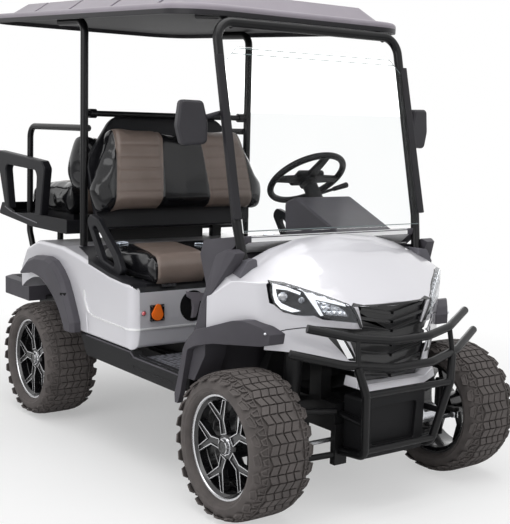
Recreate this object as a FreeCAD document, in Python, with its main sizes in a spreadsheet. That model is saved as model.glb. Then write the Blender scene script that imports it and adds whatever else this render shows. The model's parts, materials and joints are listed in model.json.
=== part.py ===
import FreeCAD, Part
import math
import os
import Sketcher
from FreeCAD import Placement, Rotation, Vector

# A four-seat electric golf cart: two seats face forward, two face the rear.
# Origin on the ground at mid length, the nose towards -Y, the driver on +X, +Z up.

SIZES = {
    "wheel_base": 1680, "front_axle": -1150, "track_width": 1086,
    "tyre_diameter": 558, "tyre_width": 254, "rim_diameter": 392, "rim_width": 200,
    "kingpin_offset": 495, "steering_arm": 90,
    "body_half_width": 600, "panel": 6, "cowl_wall": 8, "floor_height": 455, "sill_bottom": 390,
    "skirt_bottom": 485, "seat_box_front": -390, "seat_deck": 838, "cowl_rear": -940,
    "arch_radius": 412, "nose_arch_radius": 345, "flare_reach": 50, "shoulder_blocks": 12,
    "rail_offset": 300, "rail_width": 60, "rail_height": 80, "rail_bottom": 330,
    "tube": 38, "thin_tube": 32, "strut_offset": 474, "rear_strut": 300,
    "roof_length": 2044, "roof_width": 1180, "roof_front": -794, "roof_height": 1872,
    "roof_tilt": 2.5, "roof_rim": 46, "roof_crown": 108, "roof_corner": 190,
    "screen_half": 478, "screen_bottom": 1050, "screen_top": 1756, "screen_sheet": 5,
    "seat_half": 508, "seat_front": -428, "seat_rear": 80, "seat_bottom": 762,
    "seat_thick": 118, "back_tilt": 13, "back_height": 430, "back_thick": 95,
    "rear_seat_floor": 905, "rear_seat_half": 505, "rear_cushion": 92,
    "wheel_x": 270, "wheel_y": -470, "wheel_z": 1222, "wheel_rim": 178, "wheel_tilt": 52,
    "joint_gap": 6,
}

document = FreeCAD.newDocument("golf_cart")
sheet = document.addObject("Spreadsheet::Sheet", "sizes")
for row, (alias, number) in enumerate(SIZES.items(), start=1):
    sheet.set(f"A{row}", alias)
    sheet.set(f"B{row}", str(number))
    sheet.setAlias(f"B{row}", alias)
document.recompute()


class Size:
    """A length of the cart together with the sheet formula that gives it."""

    def __init__(self, value, formula):
        self.value = float(value)
        self.formula = formula

    def __add__(self, other):
        other = size(other)
        return Size(self.value + other.value, f"({self.formula} + {other.formula})")

    def __sub__(self, other):
        other = size(other)
        return Size(self.value - other.value, f"({self.formula} - {other.formula})")

    def __mul__(self, factor):
        return Size(self.value * factor, f"({self.formula} * {factor})")

    def __truediv__(self, factor):
        return Size(self.value / factor, f"({self.formula} / {factor})")

    def __neg__(self):
        return self * -1

    __radd__ = __add__

    def __rsub__(self, other):
        return size(other) - self


def size(name):
    """Turn a sheet alias or a number into a Size."""
    if isinstance(name, Size):
        return name
    if isinstance(name, str):
        return Size(sheet.get(name), f"sizes.{name}")
    return Size(name, f"{float(name):.4f}")


def vector(x, y, z):
    return Vector(size(x).value, size(y).value, size(z).value)


nodes = []


def node(feature, label):
    """Give a finished sub-part its label and list it for writing."""
    feature.Label = label
    nodes.append(feature)
    return feature


def new_body(name):
    body = document.addObject("PartDesign::Body", name)
    body.AllowCompound = True
    return body


def sketch(body, role, start=0):
    """A sketch on one of the body's own origin planes, at a distance along that axis."""
    drawing = body.newObject("Sketcher::SketchObject", f"{body.Name}_outline")
    plane = [item for item in body.Origin.OriginFeatures if item.Role == role][0]
    drawing.AttachmentSupport = [(plane, "")]
    drawing.MapMode = "FlatFace"
    along = -size(start) if role == "XZ_Plane" else size(start)
    drawing.AttachmentOffset = Placement(Vector(0, 0, along.value), Rotation())
    drawing.setExpression("AttachmentOffset.Base.z", along.formula)
    return drawing


def fix_point(rules, formulas, geometry, place, corner):
    """Hold one sketch point at its two distances from the origin."""
    for kind, distance in zip(("DistanceX", "DistanceY"), corner):
        formulas.append((len(rules), distance.formula))
        rules.append(Sketcher.Constraint(kind, -1, 1, geometry, place, distance.value))


def polygon(drawing, corners, radius=0):
    """A closed outline through sharp corners, or corners rounded to their own radius."""
    corners = [list(corner) + [radius] * (3 - len(corner)) for corner in corners]
    places = [(size(x), size(y)) for x, y, _ in corners]
    flat = [Vector(x.value, y.value, 0) for x, y in places]
    count = len(corners)
    ends, starts = [], []
    for i, spot in enumerate(flat):
        before = (flat[i - 1] - spot).normalize()
        after = (flat[(i + 1) % count] - spot).normalize()
        half = before.getAngle(after) / 2
        reach = size(corners[i][2]).value / math.tan(half) if corners[i][2] else 0
        ends.append(spot + before * reach)
        starts.append(spot + after * reach)
    base = drawing.GeometryCount
    for i in range(count):
        drawing.addGeometry(Part.LineSegment(starts[i], ends[(i + 1) % count]))
    rules, formulas = [], []
    for i in range(count):
        line_in = base + (i - 1) % count
        line_out = base + i
        if not corners[i][2]:
            rules.append(Sketcher.Constraint("Coincident", line_in, 2, line_out, 1))
            fix_point(rules, formulas, line_out, 1, places[i])
            continue
        round_off = size(corners[i][2])
        inward = (ends[i] + starts[i]) * 0.5 - flat[i]
        half = (flat[i - 1] - flat[i]).getAngle(flat[(i + 1) % count] - flat[i]) / 2
        centre = flat[i] + inward.normalize() * (round_off.value / math.sin(half))
        mid = centre + (flat[i] - centre).normalize() * round_off.value
        arc = drawing.addGeometry(Part.Arc(ends[i], mid, starts[i]))
        turn = (ends[i] - centre).cross(starts[i] - centre).z
        first, last = (1, 2) if turn > 0 else (2, 1)
        spot = drawing.addGeometry(Part.Point(flat[i]), True)
        rules.append(Sketcher.Constraint("Tangent", line_in, 2, arc, first))
        rules.append(Sketcher.Constraint("Tangent", line_out, 1, arc, last))
        formulas.append((len(rules), round_off.formula))
        rules.append(Sketcher.Constraint("Radius", arc, round_off.value))
        rules.append(Sketcher.Constraint("PointOnObject", spot, 1, line_in))
        rules.append(Sketcher.Constraint("PointOnObject", spot, 1, line_out))
        fix_point(rules, formulas, spot, 1, places[i])
    first_rule = drawing.ConstraintCount
    drawing.addConstraint(rules)
    for index, formula in formulas:
        drawing.setExpression(f"Constraints[{first_rule + index}]", formula)
    return drawing


def circle(drawing, x, y, radius):
    centre = (size(x), size(y))
    radius = size(radius)
    spot = Vector(centre[0].value, centre[1].value, 0)
    ring = drawing.addGeometry(Part.Circle(spot, Vector(0, 0, 1), radius.value))
    rules, formulas = [], []
    fix_point(rules, formulas, ring, 3, centre)
    formulas.append((len(rules), radius.formula))
    rules.append(Sketcher.Constraint("Radius", ring, radius.value))
    first_rule = drawing.ConstraintCount
    drawing.addConstraint(rules)
    for index, formula in formulas:
        drawing.setExpression(f"Constraints[{first_rule + index}]", formula)
    return drawing


def grow(body, kind, drawing, length, role):
    """Pad or pocket a sketch towards the positive axis of its plane."""
    step = body.newObject(f"PartDesign::{kind}", f"{body.Name}_{kind.lower()}")
    step.Profile = drawing
    step.Length = size(length).value
    step.setExpression("Length", size(length).formula)
    away = role == "XZ_Plane"
    step.Reversed = away if kind == "Pad" else not away
    document.recompute()
    return step


def prism(name, role, corners, start, length, radius=0, body=None):
    """A body with one outline padded from start, along the plane's own axis."""
    body = body or new_body(name)
    drawing = polygon(sketch(body, role, start), corners, radius)
    grow(body, "Pad", drawing, length, role)
    return body


def notch(body, role, corners, start, length, radius=0):
    drawing = polygon(sketch(body, role, start), corners, radius)
    return grow(body, "Pocket", drawing, length, role)


def soften(body, radius, choose, kind="Fillet"):
    """Round or chamfer the edges of the body's last step that choose() picks."""
    document.recompute()
    last = body.Tip
    picked = [f"Edge{i}" for i, edge in enumerate(last.Shape.Edges, 1) if choose(edge)]
    step = body.newObject(f"PartDesign::{kind}", f"{body.Name}_{kind.lower()}")
    step.Base = (last, picked)
    setting = "Radius" if kind == "Fillet" else "Size"
    setattr(step, setting, size(radius).value)
    step.setExpression(setting, size(radius).formula)
    document.recompute()
    return step


def all_x(edge, x, near=0.5):
    """True where the whole edge lies in the plane at this x."""
    box = edge.BoundBox
    return abs(box.XMin - x) < near and abs(box.XMax - x) < near


def all_z(edge, z, near=0.5):
    box = edge.BoundBox
    return abs(box.ZMin - z) < near and abs(box.ZMax - z) < near


def box(name, corner, far):
    """A block between two corners, its sizes held by the sheet."""
    block = document.addObject("Part::Box", name)
    for axis, length, low, high in zip("xyz", ("Length", "Width", "Height"), corner, far):
        low, high = size(low), size(high)
        setattr(block, length, high.value - low.value)
        block.setExpression(length, (high - low).formula)
        block.setExpression(f"Placement.Base.{axis}", low.formula)
    return block


def rod(name, start, end, radius):
    """A straight round bar between two points."""
    bar = document.addObject("Part::Cylinder", name)
    first, last = vector(*start), vector(*end)
    radius = size(radius)
    bar.Radius = radius.value
    bar.setExpression("Radius", radius.formula)
    bar.Height = (last - first).Length
    bar.Placement = Placement(first, Rotation(Vector(0, 0, 1), last - first))
    return bar


def join(name, pieces):
    whole = document.addObject("Part::MultiFuse", name)
    whole.Shapes = pieces
    whole.Refine = True
    return whole


def cut(name, base, tool):
    rest = document.addObject("Part::Cut", name)
    rest.Base = base
    rest.Tool = tool
    return rest


def common(name, pieces):
    shared = document.addObject("Part::MultiCommon", name)
    shared.Shapes = pieces
    return shared


def mirror(name, piece):
    """The other side's copy of a piece, across the centre plane."""
    twin = document.addObject("Part::Mirroring", name)
    twin.Source = piece
    twin.Normal = Vector(1, 0, 0)
    return twin


def pair(name, piece):
    return join(name, [piece, mirror(f"{name}_twin", piece)])


def bent_wire(points, bend):
    """A path of straight runs with round bends at its inner points."""
    edges = []
    here = points[0]
    for i in range(1, len(points) - 1):
        back = (points[i - 1] - points[i]).normalize()
        ahead = (points[i + 1] - points[i]).normalize()
        half = back.getAngle(ahead) / 2
        reach = bend / math.tan(half)
        first, last = points[i] + back * reach, points[i] + ahead * reach
        centre = points[i] + (back + ahead).normalize() * (bend / math.sin(half))
        middle = centre + (points[i] - centre).normalize() * bend
        edges.append(Part.makeLine(here, first))
        edges.append(Part.Arc(first, middle, last).toShape())
        here = last
    edges.append(Part.makeLine(here, points[-1]))
    return Part.Wire(edges)


def tube_solid(points, bend, diameter):
    """A round tube bent through points in space."""
    points = [vector(*point) for point in points]
    path = bent_wire(points, bend)
    ring = Part.makeCircle(diameter / 2, points[0], points[1] - points[0])
    return path.makePipeShell([Part.Wire(ring)], True, False)


def tube_frame(name, runs, diameter, bend=60):
    """Bent tubes welded into one frame; a run may carry its own diameter and bend."""
    solids = []
    for run in runs:
        points, thick, curve = (list(run) + [diameter, bend])[:3] if isinstance(run, tuple) \
            else (run, diameter, bend)
        solids.append(tube_solid(points, curve, size(thick).value))
    shape = solids[0].multiFuse(solids[1:]) if len(solids) > 1 else solids[0]
    frame = document.addObject("Part::Feature", name)
    frame.Shape = shape.removeSplitter()
    return frame


def fit(label, *others):
    """Trim a finished sub-part to the pieces it is seated on."""
    blank = [feature for feature in nodes if feature.Label == label][0]
    blank.Label = f"{label}_blank"
    tools = [feature for feature in nodes if feature.Label in others]
    tool = join(f"{label}_seats", tools) if len(tools) > 1 else tools[0]
    nodes[nodes.index(blank)] = cut(f"{label}_fitted", blank, tool)
    nodes[nodes.index(document.getObject(f"{label}_fitted"))].Label = label


def both_sides(run):
    return [run, [(-size(x), y, z) for x, y, z in run]]


FRONT = size("front_axle")
REAR = FRONT + size("wheel_base")
AXLE_HEIGHT = size("tyre_diameter") / 2
WHEEL_X = size("track_width") / 2
KINGPIN = size("kingpin_offset")
HALF = size("body_half_width")
PANEL = size("panel")
FLOOR = size("floor_height")
RAIL_TOP = size("rail_bottom") + size("rail_height")
STRUT = size("strut_offset")


# Ladder frame: two box rails under the floor, a narrower front subframe with the
# towers that hold the dampers, raised rear rails over the axle, and cross members.
def chassis_frame():
    low, high = size("rail_bottom"), RAIL_TOP
    inner = size("rail_offset") - size("rail_width") / 2
    outer = size("rail_offset") + size("rail_width") / 2
    rear_low = size(430)
    side = [
        box("rail", (inner, -840, low), (outer, 140, high)),
        box("rail_rise", (inner, 80, low), (outer, 140, rear_low + 70)),
        box("rear_rail", (inner, 80, rear_low), (outer, 1122, rear_low + 70)),
        box("subframe_rail", (140, -1272, low), (200, -800, high)),
        box("tower", (150, FRONT - 35, low), (200, FRONT + 35, 640)),
        box("tower_ear", (150, FRONT - 35, 622), (330, FRONT + 35, 640)),
        box("arm_mount_front", (140, FRONT - 130, 170), (200, FRONT - 102, low)),
        box("arm_mount_rear", (140, FRONT + 102, 170), (200, FRONT + 130, low)),
        box("arm_mount_cap", (140, FRONT - 130, 300), (200, FRONT + 130, low)),
    ]
    half = join("chassis_half", side)
    cross = [box(f"cross_{i}", (-inner - 1, y, z), (inner + 1, y + 50, z + 50))
             for i, (y, z) in enumerate(((-840, 345), (-420, 345), (60, 345),
                                         (700, 440), (1072, 440)))]
    front_cross = [box(f"front_cross_{i}", (-size(160), y, 345), (160, y + 50, 395))
                   for i, y in enumerate((-1272, -1080))]
    wide = box("outrigger", (-outer - 10, -840, low), (outer + 10, -780, high))
    tray = box("battery_tray", (-inner - 30, -370, RAIL_TOP), (inner + 30, 60, RAIL_TOP + 8))
    whole = join("chassis", [half, mirror("chassis_other", half), wide, tray]
                 + cross + front_cross)
    return node(whole, "chassis_frame")


# The drive battery, a sealed block strapped to the tray under the front seat.
def battery():
    base = RAIL_TOP + 8
    body = prism("battery_body", "XY_Plane",
                 [(-270, -340), (270, -340), (270, 30), (-270, 30)], base, 220, 18)
    return node(body, "battery_pack")


# Floor pan with its rockers, one dark moulding: a flat deck on the rails, narrowed in
# front so that the steered tyres swing past it, a box-section step along each side and a
# toe board that climbs to the firewall.
def floor_pan():
    wide, narrow = HALF - 30, size(292)
    deck = prism("deck", "XY_Plane",
                 [(-narrow, -900), (narrow, -900), (narrow, -838, 8), (wide, -818, 8),
                  (wide, -380), (-wide, -380), (-wide, -818, 8), (-narrow, -838, 8)],
                 RAIL_TOP, FLOOR - RAIL_TOP)
    toe = prism("toe", "YZ_Plane",
                [(-900, RAIL_TOP), (-880, FLOOR), (-1010, 660), (-1024, 652), (-914, RAIL_TOP)],
                -narrow, narrow * 2)
    outline = [(-765, "sill_bottom", 20), (20, "sill_bottom", 30), (86, "skirt_bottom"),
               (-385, "skirt_bottom"), (-400, FLOOR + 12, 10), (-772, FLOOR + 12, 16),
               (-792, FLOOR - 10, 12)]
    rocker = prism("rocker", "YZ_Plane", outline, HALF - 60, 58)
    soften(rocker, 10, lambda edge: all_x(edge, HALF.value - 2))
    notch(rocker, "YZ_Plane", [(-740, FLOOR - 32), (-420, FLOOR - 32), (-420, FLOOR - 22),
                               (-740, FLOOR - 22)], HALF - 5, 20)
    side = pair("rockers", rocker)
    return node(join("floor", [deck, toe, side]), "floor_pan")


# Cross sections of the nose from its front lip to the windshield, as half profiles of
# the height over the width, and the plan and front outlines that trim them.
HOOD_STATIONS = (
    (-1400, ((0, 770), (200, 766), (330, 786), (450, 790), (530, 770), (606, 700))),
    (-1250, ((0, 882), (200, 868), (330, 846), (450, 838), (530, 806), (606, 712))),
    (-1130, ((0, 958), (200, 946), (330, 922), (450, 890), (530, 846), (606, 730))),
    (-1005, ((0, 1026), (200, 1012), (330, 980), (450, 932), (530, 882), (606, 745))),
    (-900, ((0, 1060), (200, 1046), (330, 1012), (450, 956), (530, 904), (606, 760))),
)


NOSE_PLAN = [(195, -1358, 45), (470, -1140, 150), (572, -965, 150), (HALF, -850)]

NOSE_FACE = [(0, 482), (198, 486), (232, 560), (480, 600), (606, 640)]

def inset(corners, amount):
    """Move every side of a closed outline inwards; its corners run anticlockwise."""
    flat = [Vector(size(corner[0]).value, size(corner[1]).value, 0) for corner in corners]
    count = len(flat)
    moved = []
    for i, spot in enumerate(flat):
        before = (spot - flat[i - 1]).normalize()
        after = (flat[(i + 1) % count] - spot).normalize()
        normal_in = Vector(-before.y, before.x, 0)
        normal_out = Vector(-after.y, after.x, 0)
        mitre = (normal_in + normal_out) * (1 / (1 + normal_in.dot(normal_out)))
        corner = (size(corners[i][0]) + amount * mitre.x, size(corners[i][1]) + amount * mitre.y)
        moved.append(corner + tuple(corners[i][2:]))
    return moved


def both_halves(points):
    """A closed outline from the +X half of it, given anticlockwise."""
    return list(points) + [(-size(point[0]),) + tuple(point[1:])
                           for point in reversed(points) if size(point[0]).value]


def nose_plan(name, shrink):
    """A tall block with the plan outline of the nose, its walls moved in by shrink."""
    outline = both_halves(NOSE_PLAN + [(HALF, -700)])
    return prism(f"{name}_plan", "XY_Plane", inset(outline, size(shrink)), 340, 800)


def nose_form(name, shrink):
    """Loft the cross sections, then keep what lies inside the plan and front outlines."""
    body = new_body(f"{name}_loft")
    sections = []
    for y, half in HOOD_STATIONS:
        top = [(size(x), size(z) - shrink) for x, z in half]
        corners = both_halves([(606, 440)] + top[::-1])
        sections.append(polygon(sketch(body, "XZ_Plane", y), corners))
    loft = body.newObject("PartDesign::AdditiveLoft", f"{name}_skin")
    loft.Profile = sections[0]
    loft.Sections = sections[1:]
    loft.Ruled = False
    plan = nose_plan(name, shrink)
    if shrink:
        return common(name, [body, plan])
    face = both_halves(NOSE_FACE + [(606, 1100)])
    depth = size("cowl_rear") + 1420
    return common(name, [body, plan, prism(f"{name}_face", "XZ_Plane", face, -1420, depth)])


HEADLIGHT = [(206, 797), (225, 768), (300, 766), (385, 780), (444, 803), (454, 872), (440, 888),
             (380, 866), (300, 832)]

GRILLE = [(0, 496), (150, 502), (172, 585), (205, 668), (178, 680), (290, 702), (304, 722),
          (150, 712), (178, 798), (0, 788)]

# Hood, wings and front panel, one pearl-coloured moulding, open underneath, with the
# openings for grille and headlamps and the round wheel arches.
def front_cowl():
    skin = cut("cowl_skin", nose_form("cowl_outer", 0), nose_form("cowl_inner", "cowl_wall"))
    grille_hole = prism("grille_hole", "XZ_Plane", both_halves(GRILLE), -1420, 190)
    lamp = prism("lamp_hole", "XZ_Plane", HEADLIGHT, -1420, 300)
    arch = rod("front_arch", (-700, FRONT, AXLE_HEIGHT), (700, FRONT, AXLE_HEIGHT),
               "nose_arch_radius")
    behind = prism("front_arch_rear", "YZ_Plane",
                   [(-1150, 400), (-850, 400), (-884, 526, 60), (-918, 628, 40),
                    (-974, 670, 60), (-1062, 670, 60), (-1150, 642)], -700, 1400)
    well = box("dash_well", (-size(482), -996, 620), (482, -880, 1100))
    opened = cut("cowl_open", skin, join("cowl_holes", [grille_hole, pair("lamp_holes", lamp), arch,
                                                       behind, well]))
    return node(opened, "front_cowl")


# Headlamps: clear wedge lenses wrapped round the corners of the nose.
def headlights():
    lamp = prism("lamp_block", "XZ_Plane", HEADLIGHT, -1420, 299.5)
    shell = cut("lamp_shell", nose_form("lamp_outer", 1), nose_form("lamp_inner", 30))
    return node(pair("lamps", common("lamp_one", [shell, lamp])), "headlights")


# Radiator-style grille: a recessed panel with slanted slats either side of the middle.
def grille():
    panel = common("grille_panel", [
        cut("grille_depth", nose_form("grille_outer", 20), nose_form("grille_inner", 32)),
        prism("grille_shape", "XZ_Plane", both_halves(GRILLE), -1420, 190)])
    slats = []
    for i, z in enumerate((525, 565, 605, 645, 700, 735, 770)):
        slats.append(prism(f"slat_{i}", "XZ_Plane",
                           [(8, z - 18), (8, z - 6), (160, z + 24), (160, z + 12)], -1376, 40))
    bars = pair("slats", join("slat_half", slats))
    keep = common("slats_kept", [bars, nose_form("slat_outer", 6),
                                 prism("slat_shape", "XZ_Plane", both_halves(GRILLE),
                                       -1420, 130)])
    return node(join("grille_whole", [panel, keep]), "grille")


# Dark side trim: a band that climbs from the floor past the arch to the strut foot, and
# the firewall between the two sides.
def cowl_trim():
    side = prism("trim_side", "YZ_Plane",
                 [(-885, 467), (-792, 467), (-850, 600), (-892, 700), (-948, 965, 20),
                  (-1010, 990), (-1050, 980), (-938, 770), (-938, 575)],
                 size("screen_half") + 2, HALF - size("screen_half") - 4)
    soften(side, 8, lambda edge: all_x(edge, HALF.value - 2))
    notch(side, "XZ_Plane", [(HALF - 4, 720), (HALF + 30, 720), (HALF + 30, 1020),
                             (HALF - 66, 1020)], -1100, 400)
    wall = prism("firewall", "YZ_Plane",
                 [(-885, 467), (-870, 467), (-900, 640), (-938, 960), (-953, 960), (-915, 640)],
                 -size("screen_half") - 2, size("screen_half") * 2 + 4)
    shaped = common("trim_shaped", [pair("trim_sides", side), nose_plan("trim", 0)])
    return node(cut("trim", join("trim_whole", [shaped, wall]), nose_form("trim_clear", 0)),
                "cowl_trim")


# Dashboard moulding with a deep hood over the instruments, reaching back to the wheel.
def dashboard():
    half = size("screen_half")
    main = prism("dash_main", "YZ_Plane",
                 [(-994, 1036), (-994, 1010), (-930, 960), (-880, 790), (-790, 800),
                  (-735, 940), (-760, 1000)], -half, half * 2, 6)
    x = size("wheel_x")
    pod = prism("dash_pod", "YZ_Plane",
                [(-900, 1016), (-880, 930), (-640, 925, 30), (-530, 985, 25), (-520, 1120, 25),
                 (-600, 1148, 40)], x - 165, 320)
    soften(pod, 12, lambda edge: edge.BoundBox.ZMax > 1000 and edge.BoundBox.YMax > -700
           and edge.BoundBox.XLength < 1)
    return node(join("dash", [main, pod]), "dashboard")


# Steering shaft in its jacket, from the firewall up to just short of the wheel's boss.
def steering_column():
    tilt = math.radians(size("wheel_tilt").value)
    x, y, z = size("wheel_x"), size("wheel_y"), size("wheel_z")
    run = (0, -math.cos(tilt), -math.sin(tilt))
    top = (x, y + run[1] * 46, z + run[2] * 46)
    jacket = rod("jacket", (x, y + run[1] * 330, z + run[2] * 330), top, 34)
    shaft = rod("shaft", top, (x, y + run[1] * 6, z + run[2] * 6), 12)
    stalk = rod("stalk", (x + 20, y + run[1] * 90, z + run[2] * 90),
                (x + 175, y - 70, z - 30), 7)
    return node(join("column", [jacket, shaft, stalk]), "steering_column")


# Steering wheel: a padded rim, three flat spokes and a centre boss, square to the column.
def steering_wheel():
    radius = size("wheel_rim")
    body = new_body("wheel_body")
    rim = circle(sketch(body, "XZ_Plane"), radius, 0, 15)
    turn = body.newObject("PartDesign::Revolution", "wheel_rim_turn")
    turn.Profile = rim
    turn.ReferenceAxis = (rim, ["V_Axis"])
    document.recompute()
    boss = circle(sketch(body, "XY_Plane", -30), 0, 0, 44)
    grow(body, "Pad", boss, 40, "XY_Plane")
    socket = circle(sketch(body, "XY_Plane", -30), 0, 0, 12.5)
    grow(body, "Pocket", socket, 30, "XY_Plane")
    for name, angle in (("left", 180), ("right", 0), ("lower", 270)):
        spoke = sketch(body, "XY_Plane", -12)
        away = Vector(math.cos(math.radians(angle)), math.sin(math.radians(angle)), 0)
        side = Vector(-away.y, away.x, 0)
        corners = [away * 30 + side * 26, away * (radius.value - 4) + side * 15,
                   away * (radius.value - 4) - side * 15, away * 30 - side * 26]
        polygon(spoke, [(point.x, point.y) for point in corners])
        grow(body, "Pad", spoke, 16, "XY_Plane")
    body.Placement = Placement(vector("wheel_x", "wheel_y", "wheel_z"),
                               Rotation(Vector(1, 0, 0), size("wheel_tilt").value - 90))
    return node(body, "steering_wheel")


# Go and brake pedals on their levers, hung from the toe board.
def pedals():
    pieces = []
    for i, (x, wide) in enumerate(((180, 90), (320, 60))):
        pad = box(f"pedal_{i}", (-size(wide) / 2, -8, -45), (size(wide) / 2, 8, 45))
        pad_at = document.addObject("Part::Feature", f"pedal_pad_{i}")
        document.recompute()
        moved = pad.Shape.copy()
        moved.Placement = Placement(Vector(x, -880, 570), Rotation(Vector(1, 0, 0), 35)) \
            .multiply(pad.Shape.Placement)
        pad_at.Shape = moved
        lever = rod(f"lever_{i}", (x, -880, 570), (x, -985, 640), 9)
        pieces += [pad_at, lever]
    return node(join("pedal_set", pieces), "pedals")


def quarter_form(name, outline, half, corner, shoulder):
    """A body block with a side outline, softened shoulders and rounded front corners."""
    block = prism(name, "YZ_Plane", outline, -half, half * 2)
    soften(block, shoulder, lambda edge: (all_x(edge, half.value) or all_x(edge, -half.value))
           and edge.BoundBox.ZMin > 620)
    front = outline[-1][0]
    plan = prism(f"{name}_plan", "XY_Plane", [(-half, front, corner), (half, front, corner),
                                              (half, 900), (-half, 900)], 300, 700)
    return common(f"{name}_round", [block, plan])


# Seat box and rear quarters, one pearl-coloured moulding open below, domed behind the
# seat, with a hole under the seat and the wheel arches cut through it.
def rear_body():
    deck = size("seat_deck")
    front = size("seat_box_front")
    wall = size("panel")
    outline = [(front, "skirt_bottom", 30), (500, "skirt_bottom"), (640, 560),
               (770, 600, 30), (772, 705, 40), (700, 815, 60), (560, deck + 28, 120),
               (300, deck + 26, 120), (110, deck, 30), (front + 210, deck - 52, 30),
               (front + 30, deck - 70, 30), (front - 2, deck - 93, 30), (front - 8, 620, 30)]
    half = HALF - 8
    inner = inset(outline, wall)
    inner[0] = (front + 6, 440)
    inner[1:4] = [(700, 440), (763, 604)]
    inner = [corner[:2] for corner in inner]
    form = quarter_form("quarter", outline, half, 60, 18)
    hollow = quarter_form("quarter_hollow", inner, half - wall, 54, 13)
    form = cut("quarter_skin", form, hollow)
    hole = size("seat_half") + "joint_gap"
    hatch = prism("seat_hatch", "XY_Plane", [(-hole, -376), (hole, -376), (hole, 90),
                                             (-hole, 90)], 700, 200)
    panels = [prism(f"sunk_side_{i}", "YZ_Plane",
                    [(-330, 498), (24, 498), (40, 600, 20), (-6, 588, 20), (-281, 574, 60),
                     (-330, 576)], x, 20) for i, x in enumerate((half - 3, -half - 17))]
    arch = rod("rear_arch", (-700, REAR, AXLE_HEIGHT + 20), (700, REAR, AXLE_HEIGHT + 20),
               size("arch_radius") - 28)
    return node(cut("rear_shell", form, join("rear_cuts", [hatch, arch] + panels)), "rear_body")


FRONT_FLARE = [(-800, 366), (-796, 401), (-817, 467, 30), (-847, 586, 40), (-871, 628, 30),
               (-926, 678, 40), (-984, 696, 60), (-1095, 737, 60), (-1125, 738, 20),
               (-1172, 718, 40), (-1200, 690), (-1197, 651), (-1174, 645), (-1090, 644, 60),
               (-1014, 638, 60), (-928, 616, 30), (-880, 593, 20), (-837, 411), (-820, 366)]
REAR_FLARE = [(86, 486), (90, 533, 30), (122, 590, 60), (160, 653, 60), (199, 711, 50),
              (251, 756, 40), (317, 794, 40), (384, 806, 60), (509, 798, 90), (600, 770, 40),
              (668, 716), (652, 650), (530, 480)]


def soften_flare(side):
    """Bevel the outer edges of an arch lip."""
    reach = side.Shape.BoundBox.XMax
    return soften(side, 8, lambda edge: all_x(edge, reach), "Chamfer")


# Front wheel-arch lips in grained black plastic: a band that follows the plan of the nose
# forwards to a thin tip, with a leg down to the rocker behind the tyre.
def front_flares():
    reach = size("flare_reach")
    band = prism("front_lip", "YZ_Plane", FRONT_FLARE[::-1], 380, HALF + reach - 380)
    soften_flare(band)
    sweep = prism("front_lip_sweep", "XY_Plane",
                  [(300, -700), (300, -1230), (440, -1230), (568, -1092, 160),
                   (HALF + reach - 30, -960, 200), (HALF + reach - 20, -700)], 340, 460)
    body_side = nose_plan("front_lip", -0.4)
    one = cut("front_lip_one", common("front_lip_swept", [band, sweep]), body_side)
    return node(pair("front_lip_pair", one), "front_flares")


# Rear wheel-arch lips: a bevelled band round the tyre, its inner edge a true arc, with a
# front leg that meets the rocker.
def rear_flares():
    start = HALF - 8
    band = prism("rear_lip", "YZ_Plane", REAR_FLARE[::-1], start, size("flare_reach"))
    soften(band, 18, lambda edge: all_x(edge, (start + "flare_reach").value)
           and edge.BoundBox.ZMin > 600 and edge.BoundBox.YMax < 640, "Chamfer")
    arch = rod("rear_lip_arch", (start - 20, REAR, AXLE_HEIGHT + 20),
               (start + 80, REAR, AXLE_HEIGHT + 20), "arch_radius")
    return node(pair("rear_lip_pair", cut("rear_lip_one", band, arch)), "rear_flares")


# Pearl lower lip that closes the nose under the grille.
def bumper_lip():
    lip = prism("lip", "XZ_Plane",
                [(-205, 498), (-150, 478), (150, 478), (205, 498), (196, 536), (150, 506),
                 (-150, 506), (-196, 536)], -1392, 72)
    return node(lip, "bumper_lip")


# Skid box between the guard's uprights, dished in front, with a bracket foot.
def bash_plate():
    half = size(158)
    body = prism("bash", "XZ_Plane",
                 [(-half, 215, 10), (half, 215, 10), (half + 6, 450, 12), (-half - 6, 450, 12)],
                 -1385, 105)
    notch(body, "XZ_Plane", [(-110, 262, 14), (110, 262, 14), (122, 410, 14), (-122, 410, 14)],
          -1390, 22)
    notch(body, "XZ_Plane", [(-118, 240, 14), (118, 240, 14), (118, 430, 14), (-118, 430, 14)],
          -1355, 90)
    return node(body, "bash_plate")


# Tubular brush guard: two swept bars, two cranked uprights that run back under the skid
# box, a mid bar at their kink and short posts between the swept bars.
def brush_guard():
    upper = [(-410, -1345, 735), (-240, -1424, 696), (-90, -1458, 680), (90, -1458, 680),
             (240, -1424, 696), (410, -1345, 735)]
    lower = [(-478, -1335, 647), (-290, -1424, 602), (-100, -1475, 582), (100, -1475, 582),
             (290, -1424, 602), (478, -1335, 647)]
    upright = [(245, -1442, 592), (219, -1464, 489), (172, -1418, 238), (172, -1250, 222)]
    post = [(238, -1428, 692), (245, -1444, 594)]
    runs = [(upper, "thin_tube", 120), (lower, "thin_tube", 120)]
    for run in both_sides(upright):
        runs.append((run, "thin_tube", 40))
    for run in both_sides(post):
        runs.append((run, 20, 40))
    runs.append(([(-218, -1464, 489), (218, -1464, 489)], 26, 40))
    runs.append(([(-178, -1424, 262), (178, -1424, 262)], 26, 40))
    for run in both_sides([(194, -1441, 372), (172, -1262, 372)]):
        runs.append((run, 24, 40))
    return node(tube_frame("guard", runs, "thin_tube"), "brush_guard")


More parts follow.
